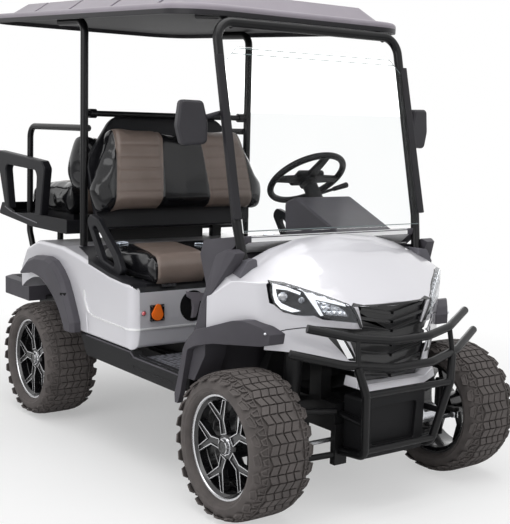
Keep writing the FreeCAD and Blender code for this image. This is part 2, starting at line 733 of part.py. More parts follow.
# Front suspension: two V arms and a coil-over each side.
def front_suspension():
    solids = []
    for z_in, z_out in ((210, 174), (380, 384)):
        for y in (-116, 116):
            solids.append(rod(f"arm_{z_in}_{y}", (190, FRONT + y, z_in),
                              (KINGPIN - 25, FRONT, z_out), 12))
    foot, head = vector(338, FRONT, 205), vector(308, FRONT, 636)
    on_line = [foot + (head - foot) * share for share in (0.22, 0.93)]
    damper = rod("damper", foot, head, 15)
    coil = rod("coil", on_line[0], on_line[1], 36)
    yoke = rod("damper_yoke", (338, FRONT - 66, 204), (338, FRONT + 66, 204), 10)
    half = join("suspension_half", solids + [damper, coil, yoke])
    return node(pair("suspension", half), "front_suspension")


# Steering gear: the rack's housing on the subframe, bored for the sliding bar, and the
# motor of the power steering beside it.
def steering_rack():
    y, z = FRONT - size("steering_arm"), 262
    outer = rod("rack_tube", (-140, y, z), (140, y, z), 26)
    bore = rod("rack_bore", (-230, y, z), (230, y, z), 12)
    feet = [box(f"rack_foot_{i}", (x, y - 24, z), (x + 30, y + 24, 345))
            for i, x in enumerate((-130, 100))]
    assist = rod("assist_motor", (200, y - 54, 320), (300, y - 54, 320), 36)
    collar = rod("assist_collar", (200, y - 54, 320), (220, y - 54, 320), 41)
    return node(cut("rack", join("rack_solid", [outer, assist, collar] + feet), bore),
                "steering_rack")


# Rack bar with its two tie rods, ending in eyes under the knuckles' arms.
def tie_rods():
    y, z = FRONT - size("steering_arm"), 262
    bar = rod("rack_bar", (-KINGPIN + 10, y, z), (KINGPIN - 10, y, z), 9)
    eyes = [rod(f"eye_{i}", (x, y, 250), (x, y, 274), 16)
            for i, x in enumerate((KINGPIN, -KINGPIN))]
    return node(join("rods", [bar] + eyes), "tie_rods")


# Steering knuckle: kingpin, stub axle and the arm the tie rod works.
def knuckle(side, label):
    x = KINGPIN * side
    name = label
    pin = rod(f"{name}_pin", (x, FRONT, 158), (x, FRONT, 400), 20)
    stub = rod(f"{name}_stub", (x, FRONT, AXLE_HEIGHT), (x + 60 * side, FRONT, AXLE_HEIGHT), 22)
    arm = box(f"{name}_arm", (x - 13, FRONT - size("steering_arm") - 14, 277),
              (x + 13, FRONT, 293))
    return node(join(name, [pin, stub, arm]), label)


# Rear axle: tubes, gear casing and the drive motor beside it.
def rear_axle():
    z = AXLE_HEIGHT
    tube = rod("axle_tube", (-WHEEL_X + 36, REAR, z), (WHEEL_X - 36, REAR, z), 32)
    shaft = rod("half_shafts", (-WHEEL_X - 14, REAR, z), (WHEEL_X + 14, REAR, z), 22)
    case = rod("gear_case", (-70, REAR, z), (90, REAR, z), 96)
    motor = rod("motor", (-250, REAR + 120, z + 10), (40, REAR + 120, z + 10), 84)
    pads = [box(f"spring_pad_{i}", (x, REAR - 40, z), (x + 60, REAR + 40, z + 44))
            for i, x in enumerate((-330, 270))]
    return node(join("axle", [tube, shaft, case, motor] + pads), "rear_axle")


# Leaf springs with their shackles under the rear rails, and the rear dampers.
def rear_springs():
    y, z = REAR, AXLE_HEIGHT + 44
    leaf = prism("leaf", "YZ_Plane",
                 [(y - 300, z + 70), (y - 60, z), (y + 60, z), (y + 300, z + 70),
                  (y + 300, z + 84), (y + 60, z + 26), (y - 60, z + 26), (y - 300, z + 84)],
                 272, 56)
    hangers = [box(f"hanger_{i}", (280, y + d - 12, z + 72), (320, y + d + 12, 430))
               for i, d in enumerate((-288, 288))]
    damper = rod("rear_damper", (300, y + 52, z - 30), (250, y + 150, 445), 20)
    half = join("spring_half", [leaf, damper] + hangers)
    return node(pair("springs", half), "rear_springs")


# Tyre section revolved about the axle, its outer shoulder notched all round into blocks.
def tyre_form(name):
    outer, bead = size("tyre_diameter") / 2, size("rim_diameter") / 2 + 0.5
    half = size("tyre_width") / 2
    body = new_body(name)
    drawing = sketch(body, "YZ_Plane")
    polygon(drawing, [(-half + 16, bead), (-half, outer - 42), (-half + 32, outer),
                      (half - 32, outer), (half, outer - 42), (half - 16, bead)])
    turn = body.newObject("PartDesign::Revolution", f"{name}_turn")
    turn.Profile = drawing
    turn.ReferenceAxis = (drawing, ["H_Axis"])
    document.recompute()
    groove = polygon(sketch(body, "XZ_Plane", half - 34),
                     [(-19, outer + 8), (0, outer - 46), (19, outer + 8)])
    pocket = grow(body, "Pocket", groove, 40, "XZ_Plane")
    ring = body.newObject("PartDesign::PolarPattern", f"{name}_blocks")
    ring.Originals = [pocket]
    ring.Axis = (groove, ["N_Axis"])
    ring.Angle = 360
    ring.Occurrences = int(size("shoulder_blocks").value)
    ring.setExpression("Occurrences", "sizes.shoulder_blocks")
    body.Tip = ring
    document.recompute()
    return body


# Wheel rim: a barrel with lips, five forked spokes close to its outer edge, and a hub
# with a protruding cap.
def rim_form(name):
    lip = size("rim_diameter") / 2
    half = size("rim_width") / 2
    body = new_body(name)
    drawing = sketch(body, "YZ_Plane")
    polygon(drawing, [(-half, lip), (-half, lip - 12), (-half + 14, lip - 24),
                      (half - 14, lip - 24), (half, lip - 12), (half, lip),
                      (half - 14, lip - 12), (-half + 14, lip - 12)])
    turn = body.newObject("PartDesign::Revolution", f"{name}_barrel")
    turn.Profile = drawing
    turn.ReferenceAxis = (drawing, ["H_Axis"])
    document.recompute()
    reach = (lip - 18).value
    outline = ((0, -46), (52, -21), (96, -17), (reach * 0.95, -62), (reach * 0.97, -34),
               (122, 0), (reach * 0.97, 34), (reach * 0.95, 62), (96, 17), (52, 21), (0, 46))
    for i in range(5):
        turned = Rotation(Vector(0, 0, 1), 90 + 72 * i)
        spoke = sketch(body, "XZ_Plane", 56)
        corners = [turned.multVec(Vector(x, y, 0)) for x, y in outline[1:-1]]
        centre = turned.multVec(Vector(20, 0, 0))
        polygon(spoke, [(centre.x, centre.y)] + [(point.x, point.y) for point in corners])
        grow(body, "Pad", spoke, 20, "XZ_Plane")
    for start, long, radius in ((-22, 94, 50), (72, 12, 34), (84, 8, 27)):
        hub = circle(sketch(body, "XZ_Plane", start), 0, 0, radius)
        grow(body, "Pad", hub, long, "XZ_Plane")
    socket = circle(sketch(body, "XZ_Plane", -40), 0, 0, 22.6)
    grow(body, "Pocket", socket, 58, "XZ_Plane")
    return body


def axle_pair(y, where):
    """Both wheels of one axle: tyre and rim turned so that the axle lies along X."""
    centre = Placement(vector(WHEEL_X, y, AXLE_HEIGHT), Rotation(Vector(0, 0, 1), -90))
    for kind, form in (("tyre", tyre_form), ("rim", rim_form)):
        left = form(f"{kind}_{where}_body")
        left.Placement = centre
        node(left, f"{kind}_{where}_left")
        node(mirror(f"{kind}_{where}_twin", left), f"{kind}_{where}_right")


# Front bench cushion: a hinged lid over the battery, rounded front and ends.
def front_seat_cushion():
    low = size("seat_bottom") + 10
    thick = size("seat_thick") - 10
    cushion = prism("cushion", "YZ_Plane",
                    [(size("seat_front") + 38, low), ("seat_rear", low),
                     ("seat_rear", low + thick + 4, 24), (-120, low + thick - 2, 400),
                     ("seat_front", low + thick, 42), ("seat_front", low + 14)],
                    -size("seat_half"), size("seat_half") * 2)
    half = size("seat_half").value
    soften(cushion, 16, lambda edge: (all_x(edge, half) or all_x(edge, -half))
           and edge.BoundBox.ZMax > low.value + 16)
    return node(cushion, "front_seat_cushion")


# Black plinth under the front cushion, a frame that closes the top of the seat box.
def seat_plinth():
    top = size("seat_bottom") + 10
    edge = size("seat_half") + "joint_gap"
    plinth = prism("plinth", "XY_Plane", [(-edge, -376), (edge, -376), (edge, 90), (-edge, 90)],
                   top - 60, 60)
    inner = edge - 44
    notch(plinth, "XY_Plane", [(-inner, -340), (inner, -340), (inner, 50), (-inner, 50)],
          top - 70, 80, 20)
    return node(plinth, "seat_plinth")


def leaning(behind):
    """The lean of the front seat back, a distance behind its front face."""
    tilt = Rotation(Vector(1, 0, 0), -size("back_tilt").value)
    return Placement(Vector(0, 128, 1030) + tilt.multVec(Vector(0, behind, 0)), tilt)


# Front bench back: two humped pads in one cushion, leaning rearwards.
def front_seat_back():
    half = size("seat_half")
    tall = size("back_height")
    back = prism("backrest", "XZ_Plane",
                 [(-half + 30, 0), (half - 30, 0), (half, 120), (half - 62, 286),
                  (half - 130, tall), (120, tall), (0, tall - 24), (-120, tall),
                  (-half + 130, tall), (-half + 62, 286), (-half, 120)],
                 0, "back_thick", 26)
    soften(back, 26, lambda edge: abs(edge.BoundBox.YMin) < 0.5 and abs(edge.BoundBox.YMax) < 0.5)
    back.Placement = leaning(0)
    return node(back, "front_seat_back")


# Black shell behind the two benches, an arched board with a rolled edge.
def seat_back_shell():
    wide = size("seat_half") - 38
    shell = prism("shell", "XZ_Plane",
                  [(-wide + 30, -60, 40), (wide - 30, -60, 40), (wide, 270, 120),
                   (300, 496, 120), (-300, 496, 120), (-wide, 270, 120)], 0, 30)
    soften(shell, 8, lambda edge: abs(edge.BoundBox.YMin) < 0.5 and abs(edge.BoundBox.YMax) < 0.5)
    shell.Placement = leaning(size("back_thick").value)
    return node(shell, "seat_back_shell")


# Hip guards: closed loops at both ends of the front bench.
def arm_guards():
    near = size("seat_half") + 14
    loop = prism("loop", "YZ_Plane",
                 [(-245, 775, 24), (-20, 811, 24), (120, 1000, 30), (84, 1034, 24),
                  (10, 1018, 60), (-170, 880, 80)], near, 30)
    notch(loop, "YZ_Plane", [(-166, 812, 12), (-40, 838, 20), (66, 975, 14), (30, 986, 20),
                             (-128, 866, 30)], near - 7, 60)
    soften(loop, 8, lambda edge: all_x(edge, (near + 30).value))
    return node(pair("loops", loop), "arm_guards")


def screen_y(z):
    """Where the raked windshield plane stands at a given height."""
    low, high = size("screen_bottom"), size("screen_top")
    share = (size(z) - low).value / (high - low).value
    return -1004 + 168 * share


# Front struts: one hoop from the hood up beside the screen and across under the roof's
# front edge, with two short stays back below the roof.
def front_struts():
    leg = [(452, -1012, 905), (472, screen_y(1090) + 20, 1090), ("strut_offset", -806, 1850)]
    hoop = leg + [(-size(x), y, z) for x, y, z in reversed(leg)]
    runs = [(hoop, "tube", 75)]
    for run in both_sides([(400, -806, 1838), (400, -735, 1878), (400, -560, 1891)]):
        runs.append((run, 26, 30))
    return node(tube_frame("struts", runs, "tube"), "front_struts")


# Strut shoes on the wings, the channels that grip the screen's edges and the clamps.
def strut_covers():
    shoe = prism("shoe", "XZ_Plane",
                 [(418, 880), (500, 850), (506, 898, 6), (474, 948, 10), (430, 956, 10)],
                 -1056, 96)
    seated = cut("shoe_seated", shoe, nose_form("shoe_clear", 0))
    channel = document.addObject("Part::Feature", "channel")
    low = Vector(482, screen_y(1100) - 2, 1100)
    high = Vector(482, screen_y(1720) - 2, 1720)
    strip = Part.makeBox(34, 20, (high - low).Length, Vector(-17, -10, 0))
    strip.Placement = Placement(low, Rotation(Vector(0, 0, 1), high - low)).multiply(
        strip.Placement)
    channel.Shape = strip
    return node(pair("covers", join("cover_half", [seated, channel])), "strut_covers")


# Windshield: one raked clear sheet with cut top corners.
def windshield():
    half = size("screen_half") - 16
    rake = math.degrees(math.atan2(168, 706))
    tall = 706 / math.cos(math.radians(rake))
    sheet_body = prism("screen", "XZ_Plane",
                       [(-half, 0), (half, 0), (half, tall - 60), (half - 60, tall),
                        (-half + 60, tall), (-half, tall - 60)], 0, "screen_sheet")
    sheet_body.Placement = Placement(Vector(0, screen_y(1050) - 6, 1050),
                                     Rotation(Vector(1, 0, 0), -rake))
    return node(sheet_body, "windshield")


# Door mirrors on short stalks from the front struts, their outer edges turned back.
def mirrors():
    stalk = rod("stalk_arm", (486, screen_y(1500) + 26, 1500), (580, -838, 1470), 9)
    head = prism("mirror_head", "XZ_Plane",
                 [(0, -76, 22), (104, -84, 22), (124, -10, 60), (112, 90, 20), (20, 88, 20),
                  (0, 10, 60)], -24, 42)
    soften(head, 12, lambda edge: edge.BoundBox.YMax < -23)
    head.Placement = Placement(vector(534, -846, 1456), Rotation(Vector(0, 0, 1), 12))
    return node(pair("mirror_pair", join("mirror_half", [stalk, head])), "mirrors")


# Rear struts that bend back under the roof, with a cross bar and its clamps, and the
# brackets of the rear backrest.
def rear_struts():
    y, x = size("rear_strut"), size("strut_offset")
    run = [(x, y - 5, 500), (x, y, 1921), (x, y + 260, 1932.3)]
    runs = [(side, "tube", 56) for side in both_sides(run)]
    runs.append(([(-x, y, 1493), (x, y, 1493)], 28, 30))
    for run in both_sides([(440, 264, 1180), (440, 440, 1180)]):
        runs.append((run, 26, 30))
    runs.append(([(-x, y, 1180), (x, y, 1180)], 26, 30))
    for run in both_sides([(448, y, 1493), (414, y, 1493)]):
        runs.append((run, 44, 30))
    return node(tube_frame("rear_strut_frame", runs, "tube"), "rear_struts")


# Roof outline with big round corners, given by its half width, ends and corner radius.
def roof_outline(inset):
    wide = size("roof_width") / 2 - inset
    length = size("roof_length") - inset
    corner = size("roof_corner") - inset
    return [(-wide, inset, corner), (wide, inset, corner), (wide, length, corner),
            (-wide, length, corner)]


# Roof: a rolled rim and a crowned panel in four raised fields, hollow underneath.
def roof():
    body = new_body("roof_body")
    rim = polygon(sketch(body, "XY_Plane"), roof_outline(size(0)))
    grow(body, "Pad", rim, "roof_rim", "XY_Plane")
    top = size("roof_rim").value
    soften(body, 20, lambda edge: all_z(edge, top))
    for name, low, high, drop in (("crown", 84, 184, 12), ("fields", 70, 170, 0)):
        part = body if name == "crown" else new_body("roof_fields")
        loft = part.newObject("PartDesign::AdditiveLoft", name)
        base = polygon(sketch(part, "XY_Plane", size("roof_rim") - 4), roof_outline(size(low)))
        peak = polygon(sketch(part, "XY_Plane", size("roof_crown") - drop),
                       roof_outline(size(high)))
        loft.Profile = base
        loft.Sections = [peak]
        document.recompute()
    grow(body, "Pocket", polygon(sketch(body, "XY_Plane", 0), roof_outline(size(16))),
         size("roof_rim") - 8, "XY_Plane")
    hollow = body.newObject("PartDesign::SubtractiveLoft", "crown_hollow")
    hollow.Profile = polygon(sketch(body, "XY_Plane", 30), roof_outline(size(92)))
    hollow.Sections = [polygon(sketch(body, "XY_Plane", size("roof_crown") - 19),
                               roof_outline(size(186)))]
    document.recompute()
    wide = size("roof_width") / 2
    grooves = [prism(f"roof_groove_{i}", "XY_Plane",
                     [(-wide, y - 60), (0, y), (wide, y - 60), (wide, y - 34), (0, y + 26),
                      (-wide, y - 34)], size("roof_rim") - 4, 100)
               for i, y in enumerate((420, 835, 1250, 1640))]
    raised = cut("roof_raised", document.getObject("roof_fields"),
                 join("roof_grooves", grooves))
    whole = join("roof_whole", [body, raised])
    whole.Placement = Placement(vector(0, "roof_front", "roof_height"),
                                Rotation(Vector(1, 0, 0), size("roof_tilt").value))
    return node(whole, "roof")


# Black liner under the roof: a flat pan with a lip all round.
def roof_liner():
    body = new_body("liner")
    pan = polygon(sketch(body, "XY_Plane", 20), roof_outline(size(22)))
    grow(body, "Pad", pan, size("roof_rim") - 28, "XY_Plane")
    field = polygon(sketch(body, "XY_Plane", 26), roof_outline(size(44)))
    grow(body, "Pocket", field, size("roof_rim") - 28, "XY_Plane")
    body.Placement = Placement(vector(0, "roof_front", "roof_height"),
                               Rotation(Vector(1, 0, 0), size("roof_tilt").value))
    return node(body, "roof_liner")


# Rear-facing seat's moulded tub, a shallow tray with raised ends.
def rear_seat_tub():
    low, half = size("rear_seat_floor"), size("rear_seat_half")
    side = [(420, 905), (830, 905), (1270, 940), (1225, 1005), (1150, 1000), (1060, 960),
            (960, 962), (860, 975), (420, 975)]
    tub = prism("tub", "YZ_Plane", side, -half, half * 2, 10)
    notch(tub, "YZ_Plane", [(426, 918), (828, 918), (1256, 950), (1215, 1020), (426, 1020)],
          -half + 8, half * 2 - 16, 8)
    ribs = [box(f"tub_rib_{side}", (x, 600, low + 8), (x + 40, 980, low + 79.7))
            for side, x in (("right", -380), ("left", 340))]
    return node(join("tub_ribbed", [tub] + ribs), "rear_seat_tub")


# Rear cushion, a thick pad that lifts as the lid of the tub.
def rear_seat_cushion():
    half = size("rear_seat_half") - 80
    low = size("rear_seat_floor") + 80
    pad = prism("rear_pad", "YZ_Plane",
                [(564, low), (1050, low, 10), (1062, low + 60, 40), (1036, low + 118, 30),
                 (780, low + 144, 200), (564, low + 150, 14)], -half, half * 2)
    soften(pad, 18, lambda edge: (all_x(edge, half.value) or all_x(edge, -half.value))
           and edge.BoundBox.ZMax > low.value + 30)
    return node(pad, "rear_seat_cushion")


# Rear backrest: a thick pad that bulges towards the rear bench and leans from it.
def rear_seat_back():
    half = size("rear_seat_half") - 30
    back = prism("rear_rest", "YZ_Plane",
                 [(345, 1112, 20), (455, 1118, 30), (512, 1190, 50), (505, 1260, 50),
                  (440, 1385, 34), (356, 1400, 24), (334, 1250, 60)], -half, half * 2)
    soften(back, 22, lambda edge: (all_x(edge, half.value) or all_x(edge, -half.value)))
    return node(back, "rear_seat_back")


# Rear armrests: looped mouldings standing on the tub's ends.
def rear_armrests():
    near = size("rear_seat_half") - 31
    loop = prism("rest", "YZ_Plane",
                 [(700, 975), (770, 975), (742, 1200, 40), (1152, 1215, 30), (1105, 980),
                  (1160, 990, 10), (1258, 1235, 60), (1268, 1288, 20), (690, 1252, 30),
                  (650, 1215, 20)], near, 44)
    soften(loop, 8, lambda edge: all_x(edge, (near + 44).value) and edge.BoundBox.ZMax > 1100)
    return node(pair("rests", loop), "rear_armrests")


# Rear frame of black tube: the grab rail, its legs and the stays below the tub.
def rear_frame():
    out = size("rear_seat_half") - 53
    rail = [(out, "rear_strut", 1423), (out, 966, 1423), (out, 976, 870), (out - 6, 905, 700),
            (310, 885, 470)]
    runs = [(side, "thin_tube", 60) for side in both_sides(rail)]
    for run in both_sides([(300, 806, 490), (355, 806, 640), (355, 806, 915)]):
        runs.append((run, "thin_tube", 40))
    return node(tube_frame("stays", runs, "thin_tube"), "rear_frame")


# Rear foot step: a boxed platform with a flat deck and a turned-down nose.
def rear_step():
    step = prism("step", "YZ_Plane",
                 [(1040, 474), (1476, 474, 8), (1490, 500, 8), (1482, 556, 6), (1440, 566),
                  (1040, 566)], -size(430), 860)
    plan = prism("step_plan", "XY_Plane", [(-430, 1000), (430, 1000), (430, 1380, 60),
                                           (300, 1490, 60), (-300, 1490, 60),
                                           (-430, 1380, 60)], 440, 160)
    return node(common("step_round", [step, plan]), "rear_step")


# Charging inlet: a square black plate, a round orange cover, and a small charge lamp.
def charge_port():
    y = size("seat_box_front") - 8
    plate = prism("port_plate", "XZ_Plane", [(-508, 611), (-440, 611), (-440, 681),
                                            (-508, 681)], y - 6, 8, 6)
    cover = rod("port_cover", (-474, y - 14, 644), (-474, y + 2, 644), 26)
    return node(join("port", [plate, cover]), "charge_port")


def check():
    """Stop if any step of the model failed or a sub-part has no sound shape."""
    document.recompute()
    faults = [f"{feature.Label} failed: {feature.State}" for feature in document.Objects
              if "Invalid" in feature.State or "Error" in feature.State]
    faults += [f"{feature.Label} has no sound solid" for feature in nodes
               if feature.Shape.isNull() or not feature.Shape.isValid()
               or not feature.Shape.Solids]
    if faults:
        raise RuntimeError("; ".join(faults))


chassis_frame()
battery()
floor_pan()
front_cowl()
headlights()
grille()
cowl_trim()
dashboard()
steering_column()
steering_wheel()
pedals()
rear_body()
front_flares()
rear_flares()
bumper_lip()
bash_plate()
brush_guard()
front_suspension()
steering_rack()
tie_rods()
knuckle(1, "knuckle_left")
knuckle(-1, "knuckle_right")
rear_axle()
rear_springs()
axle_pair(FRONT, "front")
axle_pair(REAR, "rear")
front_seat_cushion()
seat_plinth()
front_seat_back()
seat_back_shell()
arm_guards()
front_struts()
strut_covers()
windshield()
mirrors()
rear_struts()
roof()
roof_liner()
rear_seat_tub()
rear_seat_cushion()
rear_seat_back()
rear_armrests()
rear_frame()
rear_step()
charge_port()

fit("strut_covers", "front_struts")
fit("windshield", "strut_covers", "front_struts")
fit("dashboard", "front_struts")
fit("front_cowl", "front_struts")
fit("cowl_trim", "floor_pan", "dashboard", "front_struts", "strut_covers")
fit("pedals", "cowl_trim", "floor_pan")
fit("steering_column", "dashboard", "cowl_trim")
fit("rear_body", "rear_struts", "floor_pan")
fit("arm_guards", "rear_body", "seat_plinth")
fit("front_suspension", "chassis_frame")
fit("brush_guard", "chassis_frame", "bash_plate")
fit("mirrors", "front_struts", "strut_covers")
fit("roof_liner", "front_struts", "rear_struts")
fit("rear_springs", "chassis_frame", "rear_axle")
fit("rear_frame", "chassis_frame", "rear_struts", "rear_body")
fit("rear_seat_tub", "rear_frame")
fit("rear_armrests", "rear_seat_tub", "rear_frame")
fit("seat_back_shell", "rear_struts")
fit("rear_struts", "rear_seat_back")
fit("charge_port", "rear_body")
fit("bumper_lip", "front_cowl", "grille")
fit("steering_rack", "chassis_frame")
fit("rear_step", "chassis_frame")

check()
os.makedirs("parts", exist_ok=True)
for feature in nodes:
    feature.Shape.exportStep(f"parts/{feature.Label}.step")
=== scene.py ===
import json
import math

import bmesh
import bpy
from mathutils import Matrix, Vector
from mathutils.bvhtree import BVHTree


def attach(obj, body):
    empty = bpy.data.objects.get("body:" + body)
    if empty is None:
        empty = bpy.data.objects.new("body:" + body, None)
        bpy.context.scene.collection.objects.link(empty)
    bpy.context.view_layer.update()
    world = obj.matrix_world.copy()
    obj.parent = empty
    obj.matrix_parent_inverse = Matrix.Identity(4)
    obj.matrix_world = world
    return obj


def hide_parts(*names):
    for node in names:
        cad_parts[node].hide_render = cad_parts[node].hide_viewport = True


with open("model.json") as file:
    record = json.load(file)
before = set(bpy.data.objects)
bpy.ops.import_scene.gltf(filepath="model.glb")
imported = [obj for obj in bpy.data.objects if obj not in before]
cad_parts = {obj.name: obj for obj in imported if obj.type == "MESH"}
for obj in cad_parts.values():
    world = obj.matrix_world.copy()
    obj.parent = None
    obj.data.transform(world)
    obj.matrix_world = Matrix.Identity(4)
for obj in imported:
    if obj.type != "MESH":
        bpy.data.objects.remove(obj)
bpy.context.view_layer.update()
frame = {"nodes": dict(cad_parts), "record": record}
nodes = frame["nodes"]
body_of = {name: body for body, names in frame["record"]["behaviour"]["bodies"].items()
           for name in names}


# Body mouldings: the nose, the seat box with its rear quarters and the lip under the
# grille. Thermoformed ABS sheet in silver pearl paint under a clear lacquer: a soft
# metallic ground whose flakes shift a little in tone, beneath one hard even gloss.
def linear(shade):
    """The linear colour of an sRGB hex value."""
    parts = [int(shade[i:i + 2], 16) / 255 for i in (1, 3, 5)]
    return [p / 12.92 if p <= 0.04045 else ((p + 0.055) / 1.055) ** 2.4 for p in parts] + [1]


def add(material, kind, inputs, **settings):
    """Add one node; its inputs are links, values or sRGB shades, a Mix mixes colours."""
    made = material.node_tree.nodes.new("ShaderNode" + kind)
    if kind == "Mix":
        made.data_type = "RGBA"
    for name, value in settings.items():
        setattr(made, name, value)
    for socket, value in inputs.items():
        if isinstance(value, bpy.types.NodeSocket):
            material.node_tree.links.new(value, made.inputs[socket])
        else:
            shade = isinstance(value, str)
            made.inputs[socket].default_value = linear(value) if shade else value
    return made.outputs[2 if kind == "Mix" else 0]


def new_finish(name, constants):
    """A material with one shader whose plain sockets are set."""
    material = bpy.data.materials.new(name)
    material.use_nodes = True
    for socket, value in constants.items():
        material.node_tree.nodes["Principled BSDF"].inputs[socket].default_value = value
    return material


def join_to(material, **outputs):
    """Link node outputs to the shader's sockets, named with _ for a space."""
    shader = material.node_tree.nodes["Principled BSDF"]
    for socket, output in outputs.items():
        material.node_tree.links.new(output, shader.inputs[socket.replace("_", " ")])


def object_place(material):
    """Object coordinates, in metres, the same for every pattern of the piece."""
    return add(material, "TexCoord", {}).node.outputs["Object"]


def piece(name, bm, materials, body, smooth=None):
    """A finished piece from a bmesh in metres; faces meeting below the angle are smooth."""
    mesh = bpy.data.meshes.new(name)
    bm.to_mesh(mesh)
    bm.free()
    for material in materials:
        mesh.materials.append(material)
    if smooth is not None:
        mesh.shade_smooth()
        mesh.set_sharp_from_angle(angle=math.radians(smooth))
    made = bpy.data.objects.new(name, mesh)
    bpy.context.scene.collection.objects.link(made)
    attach(made, body)
    return made


def round_edges(bm, edges, offset, segments, clamp=False):
    """Bevel some edges of a mesh by an offset in metres."""
    bmesh.ops.bevel(bm, geom=edges, offset=offset, offset_type="OFFSET", affect="EDGES",
                    segments=segments, profile=0.5, material=-1, clamp_overlap=clamp)


def dressed(node, material, edge=1.5, smooth=34):
    """The node's moulding with its edges rounded, in millimetres, as they leave the mould."""
    bm = bmesh.new()
    bm.from_mesh(nodes[node].data)
    bmesh.ops.remove_doubles(bm, verts=bm.verts, dist=2e-5)
    bmesh.ops.dissolve_limit(bm, angle_limit=math.radians(0.5), verts=bm.verts,
                             edges=bm.edges)
    if edge:
        sharp = [e for e in bm.edges if len(e.link_faces) == 2
                 and e.calc_face_angle(0) > math.radians(smooth)]
        round_edges(bm, sharp, edge / 1000, 2)
    made = piece(f"{node}_skin", bm, [material], body_of[node], 40)
    weighted = made.modifiers.new("even_shading", "WEIGHTED_NORMAL")
    weighted.keep_sharp = True
    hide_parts(node)
    return made


def pearl_paint(name, shade, pale):
    material = new_finish(name, {
        "Metallic": 0.2, "Roughness": 0.32, "Coat Weight": 1.0, "Coat Roughness": 0.05,
        "Coat IOR": 1.5})
    # flakes are 0.05 mm, drawn at 4 mm; the drift of tone over a panel spans 0.4 m
    place = object_place(material)
    flake = add(material, "TexNoise", {"Vector": place, "Scale": 250.0, "Detail": 2.0})
    drift = add(material, "TexNoise", {"Vector": place, "Scale": 2.4, "Detail": 1.0})
    tone = add(material, "Mix", {0: drift, 6: shade, 7: pale})
    shine = add(material, "MapRange", {"Value": flake, "To Min": 0.26, "To Max": 0.36})
    join_to(material, Base_Color=tone, Roughness=shine)
    return material


pearl = pearl_paint("pearl_lacquer", "#D3D2D8", "#DDDCE1")
for name in ("front_cowl", "rear_body", "bumper_lip"):
    dressed(name, pearl, 2.0, 24)


# Black mouldings: wheel-arch lips, trims, dash, floor, tub, armrests and shells. Polypropylene
# with a spark-eroded grain: matt, faintly cloudy, paler where edges catch the light.
def finish(name, constants, shades, pattern, gloss=None, grain=None, kind="TexNoise",
           sockets=("Base_Color",), **settings):
    """A finish whose colour, and gloss if given, follow a pattern of a scale and a detail,
    over a raised grain of a scale, a detail, a strength and a depth."""
    material = new_finish(name, constants)
    place = object_place(material)
    share = add(material, kind, {"Vector": place, **dict(zip(("Scale", "Detail"), pattern))},
                **settings)
    tone = add(material, "Mix", {0: share, 6: shades[0], 7: shades[1]})
    join_to(material, **{socket: tone for socket in sockets})
    if gloss:
        join_to(material, Roughness=add(material, "MapRange", {
            "Value": share, "To Min": gloss[0], "To Max": gloss[1]}))
    if grain:
        raised = add(material, "TexNoise", {"Vector": place, "Scale": grain[0],
                                            "Detail": grain[1]})
        join_to(material, Normal=add(material, "Bump", {
            "Height": raised, "Strength": grain[2], "Distance": grain[3]}))
    return material


def moulded_plastic(name, shade, pale, roughness, grain=4.0, depth=0.0004):
    # the grain is 0.6 mm on the real moulding, drawn a few mm wide so that it shows
    return finish(name, {"Roughness": roughness, "Specular IOR Level": 0.22},
                  (shade, pale), (7.0, 3.0), grain=(1000 / grain, 4.0, 0.5, depth))


def shade_under(material, height, low, soft, shade):
    """Give a finish another shade under a low height, over a soft edge above it."""
    shader = material.node_tree.nodes["Principled BSDF"]
    upper = shader.inputs["Base Color"].links[0].from_socket
    above = add(material, "MapRange", {"Value": height, "From Min": low,
                                       "From Max": low + soft})
    tone = add(material, "Mix", {0: above, 6: shade, 7: upper})
    join_to(material, Base_Color=tone)


grained = moulded_plastic("grained_polypropylene", "#121214", "#1D1D1F", 0.55)
trim_grey = moulded_plastic("grey_polypropylene", "#454348", "#535157", 0.5)
tub_black = moulded_plastic("tub_polypropylene", "#141417", "#1E1E22", 0.42)
for name in ("front_flares", "rear_flares", "cowl_trim", "dashboard", "rear_step"):
    dressed(name, trim_grey, 2.0)
for name in ("floor_pan", "bash_plate", "steering_column"):
    dressed(name, grained, 2.0)

# The strut sleeves are black, their shoes low on the fenders are moulded in mid grey.
SHOE_TOP, SOFT_EDGE = 1.02, 0.01
sleeves = moulded_plastic("sleeve_plastic", "#1D1C1F", "#29282C", 0.34)
axes = add(sleeves, "SeparateXYZ", {0: object_place(sleeves)}).node.outputs
shade_under(sleeves, axes["Z"], SHOE_TOP, SOFT_EDGE, "#65646A")
dressed("strut_covers", sleeves, 2.0)

for name in ("seat_plinth", "seat_back_shell", "rear_seat_tub", "rear_armrests",
             "arm_guards"):
    dressed(name, tub_black, 2.0)


# Painted steel: the struts, the rear frame, the guard and everything under the floor.
# Welded tube and plate in black powder coat, whose surface has a fine orange-peel wave.
def powder_coat(name, shade, roughness):
    # the wave of the coat is 3 mm long
    return finish(name, {"Roughness": roughness, "Specular IOR Level": 0.22,
                         "Coat Weight": 0.08, "Coat Roughness": 0.12},
                  (shade, "#19191B"), (5.0, 4.0), grain=(330.0, 1.0, 0.3, 0.0004))


def coat_node(node, material):
    slots = nodes[node].data.materials
    slots.clear()
    slots.append(material)


satin_black = powder_coat("satin_powder_coat", "#0A0A0B", 0.3)
chassis_black = powder_coat("chassis_powder_coat", "#0D0D0E", 0.5)
for name in ("front_struts", "rear_struts", "brush_guard", "rear_frame", "pedals"):
    coat_node(name, satin_black)
for name in ("chassis_frame", "battery_pack", "front_suspension", "knuckle_left",
             "knuckle_right", "rear_axle", "rear_springs"):
    coat_node(name, chassis_black)


